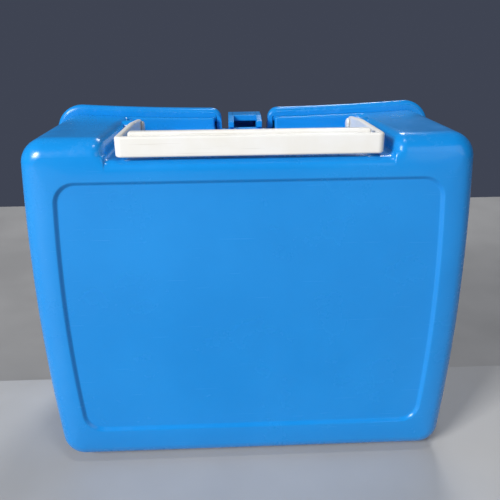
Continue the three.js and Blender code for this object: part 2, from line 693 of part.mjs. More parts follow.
// ---------- bottle bail ----------
// One bent wire: both ends turn outwards into the lugs, and it lies flat along the back.
function bottleBail() {
  const far = BAIL_X + BAIL_REACH;
  const end = LUG_GAP + LUG_HEIGHT - OVERLAP;
  const path = new THREE.CurvePath();
  const at = ([x, z]) => new THREE.Vector3(x, BAIL_Y, z);
  const run = (from, to) => path.add(new THREE.LineCurve3(at(from), at(to)));
  const bend = (...corner) => path.add(new THREE.QuadraticBezierCurve3(...corner.map(at)));
  const lowTurn = [BAIL_X, BAIL_LOW - BAIL_TURN];
  const lowStart = [BAIL_X + BAIL_TURN, BAIL_LOW];
  const lowEnd = [far - BAIL_BEND, BAIL_LOW];
  const sideStart = [far, BAIL_LOW + BAIL_BEND];
  const sideEnd = [far, BAIL_HIGH - BAIL_BEND];
  const highStart = [far - BAIL_BEND, BAIL_HIGH];
  const highEnd = [BAIL_X + BAIL_TURN, BAIL_HIGH];
  const highTurn = [BAIL_X, BAIL_HIGH + BAIL_TURN];
  run([BAIL_X, BAIL_LOW - end], lowTurn);
  bend(lowTurn, [BAIL_X, BAIL_LOW], lowStart);
  run(lowStart, lowEnd);
  bend(lowEnd, [far, BAIL_LOW], sideStart);
  run(sideStart, sideEnd);
  bend(sideEnd, [far, BAIL_HIGH], highStart);
  run(highStart, highEnd);
  bend(highEnd, [BAIL_X, BAIL_HIGH], highTurn);
  run(highTurn, [BAIL_X, BAIL_HIGH + end]);
  const section = new THREE.Shape();
  section.absarc(0, 0, BAIL_WIRE, 0, 2 * Math.PI);
  const options = { steps: 90, extrudePath: path, curveSegments: 5, bevelEnabled: false };
  return solid(new THREE.ExtrudeGeometry(section, options));
}

// ---------- the assembly ----------
const bluePlastic = () =>
  new THREE.MeshStandardMaterial({ color: 0x1f8fe6, roughness: 0.22, metalness: 0 });
const whitePlastic = () =>
  new THREE.MeshStandardMaterial({ color: 0xf1f0ec, roughness: 0.35, metalness: 0 });
const steel = () =>
  new THREE.MeshStandardMaterial({ color: 0xb9bcc0, roughness: 0.3, metalness: 1 });

const lunchBox = new THREE.Group();

function addPart(name, manifold, material) {
  const mesh = new THREE.Mesh(geometryOf(manifold), material);
  mesh.name = name;
  lunchBox.add(mesh);
}

addPart("rear_case", rearCase(), bluePlastic());
addPart("front_cover", frontCover(), bluePlastic());
addPart("carry_handle", carryHandle(), whitePlastic());
addPart("handle_pin_left", handlePin(-1), whitePlastic());
addPart("handle_pin_right", handlePin(1), whitePlastic());
addPart("latch", latch(), bluePlastic());
addPart("latch_pin", latchPin(), steel());
addPart("hinge_pin_left", hingePin(-1), steel());
addPart("hinge_pin_right", hingePin(1), steel());
addPart("bottle_bail", bottleBail(), steel());

export default lunchBox;
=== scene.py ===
"""A moulded plastic lunch box, standing with its plain back to the camera.

The two shells, the handle, the latch, the pins and the wire bail are all made here as fine, rounded
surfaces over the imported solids. Lengths are in millimetres until a mesh is made. X runs to the right
when facing the plain back, Y from the back towards the front cover, and Z up.
"""

import json
import math

import bmesh
import bpy
import numpy as np
from mathutils import Matrix, Vector


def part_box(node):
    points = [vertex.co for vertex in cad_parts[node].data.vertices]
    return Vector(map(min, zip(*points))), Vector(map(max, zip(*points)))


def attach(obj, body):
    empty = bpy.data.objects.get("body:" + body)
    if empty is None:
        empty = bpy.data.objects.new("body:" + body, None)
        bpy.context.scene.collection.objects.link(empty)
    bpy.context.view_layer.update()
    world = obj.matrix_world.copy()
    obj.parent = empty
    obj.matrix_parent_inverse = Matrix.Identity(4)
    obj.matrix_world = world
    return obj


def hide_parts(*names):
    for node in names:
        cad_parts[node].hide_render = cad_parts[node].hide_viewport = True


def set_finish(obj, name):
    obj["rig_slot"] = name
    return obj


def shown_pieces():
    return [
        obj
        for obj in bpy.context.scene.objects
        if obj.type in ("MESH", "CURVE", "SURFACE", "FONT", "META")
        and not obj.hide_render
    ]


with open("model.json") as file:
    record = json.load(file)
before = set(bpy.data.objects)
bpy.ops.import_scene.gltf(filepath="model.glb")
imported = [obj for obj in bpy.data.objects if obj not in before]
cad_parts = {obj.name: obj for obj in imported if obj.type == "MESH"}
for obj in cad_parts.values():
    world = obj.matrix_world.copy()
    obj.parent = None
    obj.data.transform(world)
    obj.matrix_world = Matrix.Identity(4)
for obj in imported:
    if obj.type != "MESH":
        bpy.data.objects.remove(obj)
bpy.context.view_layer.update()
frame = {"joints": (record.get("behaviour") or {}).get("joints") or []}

MM = 0.001


# ---------- places taken from the frame, in millimetres ----------
def box_mm(node):
    """A node's lowest and highest corners in millimetres."""
    low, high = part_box(node)
    return np.array(low) / MM, np.array(high) / MM


def joint_mm(name):
    """A joint's place in millimetres."""
    joint = next(j for j in frame["joints"] if j["name"] == name)
    return np.array(joint["pos_m"]) / MM


case_low, _ = box_mm("rear_case")
_, cover_high = box_mm("front_cover")
handle_low, handle_high = box_mm("carry_handle")
latch_low, latch_high = box_mm("latch")
bail_low, bail_high = box_mm("bottle_bail")

BACK = case_low[1]
FRONT = cover_high[1]
JOINT = joint_mm("cover_hinge")[1]
JOINT_GAP = 0.3
CASE_LIP = JOINT - JOINT_GAP / 2
COVER_LIP = JOINT + JOINT_GAP / 2
RIM_TOP = 5.5
CASE_TOP = cover_high[2] - RIM_TOP
CASE_BOTTOM = 3.2
TOP_DIP = 3.2
SIDE_BOW = 3.0
DRAFT = 0.03
RIM_SIDE = 2.9
MOUTH_HALF = cover_high[0] - RIM_SIDE
HALF_WIDTH = MOUTH_HALF - DRAFT * (JOINT - BACK)
CORNER = 13.0
WALL = 2.5

# The flat border of the back is crowned a little, and turns into the sides through the edge rounding.
EDGE_ROUND = 10.0
EDGE_START = math.radians(11)
CROWN = 0.9

PANEL_HALF = 98.4
PANEL_BOW = 2.3
PANEL_BOTTOM = 24.0
PANEL_TOP = 169.5
PANEL_CORNER = 11.0
PANEL_DEPTH = 1.6
PANEL_SLOPE = 2.5
PANEL_OPENING = 0.7
PANEL_SAG = 0.25
COVER_PANEL_HALF = MOUTH_HALF - SIDE_BOW - 12 + PANEL_BOW
COVER_PANEL_BOTTOM = 19.2
COVER_PANEL_TOP = 156.5

RECESS_HALF = 70.2
RECESS_FLOOR = 179.6
RECESS_END = JOINT - 4
RECESS_EDGE = 5.0
BLOCK_ROUND = 5.0
WALL_NOTCH_HALF = 18.5

RIM_DEPTH = 9.0
COVER_EDGE = 5.0
GAP_HALF = 14.4
WING_ROUND = 6.0
POCKET_BACK = COVER_LIP + WALL
POCKET_FLOOR = 164.5
POCKET_WALL = 3.0

LIP_ROUND = 0.5
# The inner face's last rings, as shares of the way out from its middle.
CLOSING = (0.97, 0.85, 0.6, 0.3, 0.05)
CASE_ZONE = 80.0
COVER_ZONE = 27.0
CASE_OUTER_STEPS = 6
COVER_OUTER_STEPS = 14
NOTCH_EDGE = 1.5
NOTCH_FOOT = 0.6
RECESS_FOOT = 2.5
BOSS_ROUND = 1.2


# ---------- small formulas ----------
def quarter(count):
    """Angles from 0 to a quarter turn, evenly spaced."""
    return np.linspace(0, math.pi / 2, count)


def rounding(distance, radius):
    """How far a quarter-round edge falls away at a distance from it: radius less the circle's height."""
    rest = np.clip(radius - distance, 0, radius)
    return radius - np.sqrt(np.maximum(radius**2 - rest**2, 0))


def smooth_step(low, high, value):
    """0 below low, 1 above high, and a smooth cubic between them."""
    t = np.clip((value - low) / (high - low), 0, 1)
    return t * t * (3 - 2 * t)


def between(share, start, stop):
    """Values at given shares of the way from start to stop."""
    return start + (stop - start) * share


def column(values):
    """A list of values, one for each station, as a column."""
    return np.asarray(values, float).reshape(-1, 1)


def stations(*parts):
    """Joins lists of stations end to end."""
    return np.concatenate([np.atleast_1d(np.asarray(p, float)) for p in parts])


# ---------- meshes ----------
def facing_out(points, faces):
    """Turns a closed shape's faces to point outwards, by the sign of the volume that they enclose: the
    sum, over the triangles of each face's fan, of the box product of their three corners."""
    corners = [np.asarray(f) for f in faces]
    volume = 0.0
    for f in corners:
        a = points[f[:, 0]]
        for k in range(1, f.shape[1] - 1):
            volume += np.einsum("ij,ij->i", a, np.cross(points[f[:, k]], points[f[:, k + 1]])).sum()
    return [f[:, ::-1] for f in corners] if volume < 0 else corners


def mesh_object(name, points, faces, edge_wear=None):
    """A smooth mesh from points in millimetres, with how worn its edges are at each point."""
    corners = facing_out(points, faces)
    mesh = bpy.data.meshes.new(name)
    mesh.from_pydata(points * MM, [], [face for f in corners for face in f.tolist()])
    wear = np.zeros(len(points)) if edge_wear is None else edge_wear
    mesh.attributes.new("edge_wear", "FLOAT", "POINT").data.foreach_set("value", wear.astype(np.float32))
    mesh.shade_smooth()
    mesh.update()
    made = bpy.data.objects.new(name, mesh)
    bpy.context.scene.collection.objects.link(made)
    return made


def ring_faces(rows, columns, closed=False):
    """Quads between rows of points that each close on themselves. A closed ring of rows also joins
    its last row to its first."""
    first, here = np.meshgrid(np.arange(rows if closed else rows - 1), np.arange(columns), indexing="ij")
    second, following = (first + 1) % rows, (here + 1) % columns
    quads = [first * columns + here, first * columns + following]
    quads += [second * columns + following, second * columns + here]
    return np.stack(quads, -1).reshape(-1, 4)


def closed_tube(grid):
    """A closed surface from rows of points, with a fan from the middle of the first and last rows."""
    rows, columns = grid.shape[:2]
    flat = grid.reshape(-1, 3)
    ends = np.stack([grid[0].mean(0), grid[-1].mean(0)])
    k = np.arange(columns)
    first = np.stack([k, np.full(columns, len(flat)), (k + 1) % columns], -1)
    base = (rows - 1) * columns
    last = np.stack([base + (k + 1) % columns, np.full(columns, len(flat) + 1), base + k], -1)
    return np.concatenate([flat, ends]), [ring_faces(rows, columns), np.concatenate([first, last])]


def joined_shapes(shapes):
    """Puts several closed shapes, each a pair of points and faces that start at 0, into one."""
    points, faces, start = [], [], 0
    for shape_points, shape_faces in shapes:
        points.append(shape_points)
        faces += [f + start for f in facing_out(shape_points, shape_faces)]
        start += len(shape_points)
    return np.concatenate(points), faces


# ---------- the section of the box ----------
CORNER_STEPS = 11
SIDE_STEPS = 25
BOTTOM_STEPS = 25


def outline(half, bow, bottom, top, corner, dip, across, zone, outer_steps):
    """A closed outline seen from the back: corners are quarter circles, the sides bow out and the top
    dips as parabolas between them, and the bottom is straight. The first six arguments have one value
    for each station. Along the top, the points nearer the middle than zone stand at the distances
    across that are given, and the rest are spread evenly out to the corners."""
    half, bow, bottom, top, corner, dip = [column(v) for v in (half, bow, bottom, top, corner, dip)]
    end = half - bow
    middle = (bottom + top) / 2
    reach = (top - bottom) / 2 - corner
    top_reach = end - corner
    turn = np.linspace(0, math.pi / 2, CORNER_STEPS)
    t = np.linspace(-1, 1, SIDE_STEPS)[1:-1]
    side_x = end + bow * (1 - t**2)
    side_z = middle + t * reach
    arc_x = end - corner + corner * np.cos(turn)
    upper_z = top - corner + corner * np.sin(turn)
    lower_z = bottom + corner - corner * np.sin(turn)
    share = np.linspace(1, 0, outer_steps)[1:-1]
    outer_x = zone + share * (top_reach - zone)
    inner_x = np.broadcast_to(across, (len(half), across.shape[-1]))
    top_x = np.concatenate([outer_x, inner_x, -outer_x[:, ::-1]], 1)
    top_z = top - dip * (1 - (top_x / top_reach) ** 2)
    low_x = np.linspace(-1, 1, BOTTOM_STEPS)[1:-1] * top_reach
    xs = [side_x, arc_x, top_x, -arc_x[:, ::-1], -side_x, -arc_x, low_x, arc_x[:, ::-1]]
    zs = [side_z, upper_z, top_z, upper_z[:, ::-1], side_z[:, ::-1], lower_z]
    zs += [bottom + 0 * low_x, lower_z[:, ::-1]]
    first = SIDE_STEPS - 2 + CORNER_STEPS + outer_steps - 2
    zone_columns = slice(first, first + across.shape[-1])
    return np.concatenate(xs, 1), np.concatenate(zs, 1), zone_columns


WALL_DRAFT = 0.15


def wall_columns(wall, outside, inside, steps=7):
    """Distances from the middle that follow a quarter round on each side of an upright wall."""
    turn = quarter(steps)
    within = wall - inside * (1 - np.cos(turn))
    beyond = wall + WALL_DRAFT + outside * (1 - np.cos(turn))
    return stations(wall - inside - 0.6, within[::-1], beyond, wall + outside + 0.8)


def cut_down(x, outer, floor, wall, edge, foot):
    """Sinks the stretch of a surface nearer the middle than wall to a floor. outer and floor are
    (y, z, toward y, toward z), where toward is the way that a rounding leans. edge and foot are the
    quarter rounds at the wall's head and foot: (how wide, how far it leans at each station)."""
    distance = np.abs(x)
    fall = rounding((distance - wall - WALL_DRAFT) / edge[0], 1) * edge[1]
    rise = rounding((wall - distance) / foot[0], 1) * foot[1]
    inside = distance <= wall + WALL_DRAFT / 2
    y = np.where(inside, floor[0] + rise * floor[2], outer[0] + fall * outer[2])
    z = np.where(inside, floor[1] + rise * floor[3], outer[1] + fall * outer[3])
    return y, z


def mirrored(distances):
    """Distances from the middle as places across, from the right to the left."""
    ordered = np.sort(distances)[::-1]
    return np.concatenate([ordered, [0.0], -ordered[::-1]])


# ---------- rear case ----------
def panel_rows(half, bottom, top, floor, towards):
    """Stations from the middle of a recessed panel to its opening: (y, how far drawn in, share of the
    way out). The floor sags a little, and the sloping step is rounded at its foot and its head."""
    share = stations(0.04, 0.2, 0.4, 0.6, 0.8, 0.93, 0.985)
    face = floor - towards * PANEL_DEPTH
    step = np.linspace(0, 1, 13)
    ramp = smooth_step(0, 1, step)
    inset = PANEL_SLOPE * (1 - step) - PANEL_OPENING
    y = floor + (face - floor) * ramp
    sag = towards * PANEL_SAG * (1 - share**2)
    rows = {
        "y": stations(floor + sag, y),
        "inset": stations(np.full(len(share), inset[0]), inset),
        "share": stations(share, np.ones(len(step))),
    }
    rows["half"] = half - rows["inset"]
    rows["bottom"] = bottom + rows["inset"]
    rows["top"] = top - rows["inset"]
    rows["corner"] = PANEL_CORNER - rows["inset"]
    return rows


def gentle_notch(x, z, wall, level):
    """Brings a row down to a level between the walls, and up from there at a gentle slope, so that
    every line from the middle of the ring meets it once."""
    return np.minimum(z, level + 0.33 * np.clip(np.abs(x) - wall, 0, None))


def shrink(x, z, share):
    """Draws each ring of points in towards the middle of the ring, to the given share."""
    mid_x = (x.max(1, keepdims=True) + x.min(1, keepdims=True)) / 2
    mid_z = (z.max(1, keepdims=True) + z.min(1, keepdims=True)) / 2
    return mid_x + (x - mid_x) * share, mid_z + (z - mid_z) * share


def case_distances(recess, edge, base):
    """Distances from the middle along the case's top: over the latch's notch, and out past the wall
    at the recess's end."""
    middle = stations(np.linspace(3, 15, 5), wall_columns(WALL_NOTCH_HALF, NOTCH_EDGE, NOTCH_FOOT, 5))
    onward = np.linspace(23, recess - 4.5, 10)
    return stations(middle, onward, wall_columns(recess, edge, base))


def rear_case_sheet():
    """One closed sheet: from the middle of the back panel out over its step, the crowned border and
    the edge rounding, along the sides to the lip, round the lip, and back inside to the middle of the
    inner back. Along the top the sheet is cut down to the handle recess."""
    panel = panel_rows(PANEL_HALF, PANEL_BOTTOM, PANEL_TOP, BACK + PANEL_DEPTH, 1)
    panel_count = len(panel["y"])
    opening = {k: panel[k][-1] for k in ("half", "bottom", "top", "corner")}

    # The border, as shares of the way from the panel's opening to the start of the edge rounding.
    edge_inset = EDGE_ROUND * (1 - math.sin(EDGE_START))
    shelf_start = RECESS_FLOOR - RECESS_EDGE
    edge_z = CASE_TOP - edge_inset
    split = (shelf_start - opening["top"]) / (edge_z - opening["top"])
    turn_b = quarter(10)[1:]
    share = stations(np.linspace(0, split, 5)[1:], split + (1 - split) * np.sin(turn_b))
    border_y = BACK + CROWN * share**2

    # The edge rounding, then the straight sides.
    turn_c = np.linspace(EDGE_START, math.pi / 2, 12)[1:]
    round_y = BACK + CROWN + EDGE_ROUND * (math.cos(EDGE_START) - np.cos(turn_c))
    round_inset = EDGE_ROUND * (1 - np.sin(turn_c))
    foot = 1.5
    head = 1.2
    straight = stations(round_y[-1] + 1, np.linspace(round_y[-1] + 6, RECESS_END - foot - 1, 12))
    climb_count = 16
    climb = np.linspace(RECESS_END - foot, RECESS_END + head, climb_count)
    turn_l = quarter(5)
    strip = stations(CASE_LIP - LIP_ROUND - 0.6, CASE_LIP - LIP_ROUND * (1 - np.sin(turn_l)))
    strip_inset = stations(0, LIP_ROUND * (1 - np.cos(turn_l)))
    lip_inset = stations(0.9, 1.6, WALL - 0.4)
    inner_y = stations(CASE_LIP, CASE_LIP - 0.15, CASE_LIP - 0.5, CASE_LIP - 1.2)
    inner_inset = stations(WALL - 0.15, WALL - 0.02, WALL, WALL)
    inner_back = BACK + WALL + PANEL_DEPTH
    inner_round = EDGE_ROUND - WALL
    inside = stations(CASE_LIP - 5.2, np.linspace(CASE_LIP - 12, inner_back + inner_round + 1, 9))
    turn_i = quarter(9)[::-1]
    inner_turn_y = inner_back + inner_round * (1 - np.cos(turn_i[::-1]))[::-1]
    lean = np.arccos(1 - (inner_turn_y - inner_back) / inner_round)
    inner_turn_inset = WALL + inner_round * (1 - np.sin(lean))

    outer_y = stations(round_y, straight, climb, strip)
    outer_inset = stations(round_inset, 0 * straight, 0 * climb, strip_inset)
    inner_all_y = stations(np.full(3, CASE_LIP), inner_y, inside, inner_turn_y)
    inner_all_inset = stations(lip_inset, inner_inset, np.full(len(inside), WALL), inner_turn_inset)
    ring_y = stations(outer_y, inner_all_y)
    ring_inset = stations(outer_inset, inner_all_inset)

    closing = stations(*CLOSING)
    half = stations(
        panel["half"],
        between(share, opening["half"], HALF_WIDTH - edge_inset),
        HALF_WIDTH + DRAFT * (ring_y - BACK) - ring_inset,
    )
    border_bottom = between(share, opening["bottom"], CASE_BOTTOM + edge_inset)
    bottom = stations(panel["bottom"], border_bottom, CASE_BOTTOM + ring_inset)
    top = stations(panel["top"], between(share, opening["top"], edge_z), CASE_TOP - ring_inset)
    border_corner = between(share, opening["corner"], CORNER - edge_inset)
    corner = stations(panel["corner"], border_corner, CORNER - ring_inset)
    border_bow = between(share, PANEL_BOW, SIDE_BOW)
    bow = stations(np.full(panel_count, PANEL_BOW), border_bow, np.full(len(ring_y), SIDE_BOW))
    dip = stations(np.zeros(panel_count + len(share)), TOP_DIP * (ring_y - BACK) / (JOINT - BACK))
    y = stations(panel["y"], border_y, ring_y)
    shrinking = stations(panel["share"], np.ones(len(y) - panel_count), closing)
    half, bottom, top, corner, bow, dip, y = [
        stations(v, np.full(len(closing), v[-1])) for v in (half, bottom, top, corner, bow, dip, y)
    ]

    # Distances across, for the outer face and for the inner face.
    outer_across = mirrored(case_distances(RECESS_HALF, BLOCK_ROUND, RECESS_FOOT))
    inner_across = mirrored(case_distances(RECESS_HALF + WALL, BOSS_ROUND, BOSS_ROUND))
    past_lip = np.arange(len(y)) - (panel_count + len(share) + len(outer_y))
    inward = smooth_step(0, 1, np.clip(past_lip / 6, 0, 1))
    across = outer_across + (inner_across - outer_across) * column(inward)
    x, z, columns = outline(half, bow, bottom, top, corner, dip, across, CASE_ZONE, CASE_OUTER_STEPS)
    depth_y = np.broadcast_to(column(y), x.shape).copy()

    # Which way into the solid, station by station.
    a = panel_count + len(share)
    b = a + len(round_y)
    c = a + len(outer_y)
    toward_y = np.zeros(len(y))
    toward_z = np.full(len(y), -1.0)
    toward_y[:a] = 1
    toward_z[:a] = 0
    toward_y[a:b] = np.cos(turn_c)
    toward_z[a:b] = -np.sin(turn_c)

    # The shelf and the recess floor, then the wall at the recess's end.
    floor_y = y.copy()
    floor_z = top.copy()
    out_y = np.full(len(y), -1.0)
    out_z = np.zeros(len(y))
    shelf = slice(a - len(turn_b), a)
    floor_y[shelf] = BACK + CROWN * split**2 + RECESS_EDGE * (1 - np.cos(turn_b))
    floor_z[shelf] = shelf_start + RECESS_EDGE * np.sin(turn_b)
    out_y[shelf] = -np.cos(turn_b)
    out_z[shelf] = np.sin(turn_b)
    flat = slice(a, b + len(straight))
    floor_y[flat] = stations(
        np.linspace(floor_y[a - 1], round_y[-1], len(round_y) + 1)[1:], straight
    )
    floor_z[flat] = RECESS_FLOOR
    out_y[flat] = 0
    out_z[flat] = 1
    sill = slice(flat.stop, flat.stop + climb_count)
    turn_f = quarter(6)
    level = CASE_TOP - TOP_DIP
    wall_z = np.linspace(RECESS_FLOOR + foot, level - head, climb_count - 10)[1:-1]
    floor_y[sill] = stations(
        RECESS_END - foot + foot * np.sin(turn_f),
        np.full(len(wall_z), RECESS_END),
        RECESS_END + head * (1 - np.cos(turn_f)),
    )
    climb_z = stations(
        RECESS_FLOOR + foot * (1 - np.cos(turn_f)),
        wall_z,
        level - head + head * np.sin(turn_f),
    )
    out_y[sill] = -stations(np.sin(turn_f), np.ones(len(wall_z)), np.cos(turn_f))
    out_z[sill] = stations(np.cos(turn_f), np.zeros(len(wall_z)), np.sin(turn_f))
    top_line = z[:, columns]
    floor_lines = np.broadcast_to(column(floor_z), top_line.shape).copy()
    climbed = (climb_z - RECESS_FLOOR) / (level - RECESS_FLOOR)
    floor_lines[sill] = RECESS_FLOOR + column(climbed) * (top_line[sill] - RECESS_FLOOR)
    floor_lines[sill.stop :] = top_line[sill.stop :]
    depth = np.zeros(len(y))
    depth[shelf] = floor_y[shelf] - y[shelf]
    depth[flat] = 20
    depth[sill] = level - climb_z
    px = across

    # The wall's own notch, where the latch reaches through to its catch.
    notch_y = floor_y.copy()
    notch_y[sill] = climb
    notch_depth = np.zeros(len(y))
    notch_depth[sill] = climb_z - RECESS_FLOOR
    notch_depth[sill.stop : c] = level - RECESS_FLOOR
    notch_y[sill.stop : c] = y[sill.stop : c]
    notch_z = np.full(len(y), RECESS_FLOOR)
    notch_z[: sill.start] = floor_z[: sill.start]
    lip_edge = slice(sill.stop, c)
    notch_z[lip_edge] = RECESS_FLOOR - outer_inset[-len(strip) :]
    wall_lines = (column(floor_y), floor_lines, column(-out_y), column(-out_z))
    notch_lines = (column(notch_y), column(notch_z), column(np.zeros(len(y))), column(np.ones(len(y))))
    notch_edge = (NOTCH_EDGE, np.minimum(NOTCH_EDGE, 0.85 * column(notch_depth)))
    notch_foot = (NOTCH_FOOT, np.minimum(NOTCH_FOOT, 0.5 * column(notch_depth)))
    w_y, w_z = cut_down(px, wall_lines, notch_lines, WALL_NOTCH_HALF, notch_edge, notch_foot)
    outer_lines = (column(y), top_line, column(toward_y), column(toward_z))
    floors = (w_y, w_z, column(out_y), column(out_z))
    edge = (BLOCK_ROUND, np.minimum(BLOCK_ROUND, 0.85 * column(depth)))
    base = (RECESS_FOOT, np.minimum(RECESS_FOOT, 0.5 * column(depth)))
    cut_y, cut_z = cut_down(px, outer_lines, floors, RECESS_HALF, edge, base)
    rows = np.arange(len(y)) < c
    strip_rows = (np.arange(len(y)) >= sill.stop) & rows
    in_notch = np.abs(px) <= WALL_NOTCH_HALF + WALL_DRAFT / 2
    cut_y[strip_rows] = np.where(in_notch, w_y, cut_y)[strip_rows]
    cut_z[strip_rows] = np.where(in_notch, w_z, cut_z)[strip_rows]

    # Inside, the recess shows as a flat boss that hangs from the top.
    boss_z = RECESS_FLOOR - WALL
    inner = ~rows & (np.arange(len(y)) < len(y) - len(closing))
    inner_wall = RECESS_HALF + WALL
    mouth = slice(c, c + 3)
    hang = np.zeros(len(y))
    hang[inner] = 1
    boss_y = column(y)
    level_boss = np.full(top_line.shape, boss_z)
    boss_lines = (boss_y, level_boss, column(np.zeros(len(y))), column(np.ones(len(y))))
    ceiling = (column(y), top_line, column(np.zeros(len(y))), column(-np.ones(len(y))))
    inner_depth = np.minimum(BOSS_ROUND, 0.5 * np.clip(top_line - boss_z, 0, None) * column(hang))
    boss_round = (BOSS_ROUND, inner_depth)
    _, in_z = cut_down(px, ceiling, boss_lines, inner_wall, boss_round, boss_round)
    in_z = np.minimum(in_z, np.where(np.abs(px) <= inner_wall + WALL_DRAFT / 2, boss_z, in_z))
    fade = column(np.clip((np.arange(len(y)) - c + 1) / 4, 0, 1))
    start_z = cut_z[c - 1]
    in_z[mouth] = start_z + (in_z[mouth] - start_z) * fade[mouth]
    closing_rows = column(np.arange(len(y)) >= len(y) - len(closing))
    in_z = np.where(closing_rows, gentle_notch(px, top_line, inner_wall, boss_z), in_z)
    z[:, columns] = np.where(column(rows), cut_z, in_z)
    depth_y[:, columns] = np.where(column(rows), cut_y, depth_y[:, columns])

    panel_share = column(shrinking[:panel_count])
    x[:panel_count], z[:panel_count] = shrink(x[:panel_count], z[:panel_count], panel_share)
    tail = slice(len(y) - len(closing), len(y))
    x[tail], z[tail] = shrink(x[tail], z[tail], column(shrinking[tail]))
    wear = np.zeros(x.shape)
    wear[a:b] = column(np.sin(2 * turn_c) ** 2)
    wear[sill.stop + 1 : c + 1] = 1
    return np.stack([x, depth_y, z], -1), wear


grid, wear = rear_case_sheet()
points, faces = closed_tube(grid)
rear_case = mesh_object("rear_case_shell", points, faces, np.append(wear.ravel(), [0, 0]))
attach(rear_case, "case")
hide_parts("rear_case")
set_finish(rear_case, "blue_plastic")


# ---------- front cover ----------
def cover_distances(wall, edge, base):
    """Distances from the middle along the cover's top, over the gap and past its wall."""
    return stations(np.linspace(2.5, wall - 2.5, 6), wall_columns(wall, edge, base, 9), wall + edge + 4)


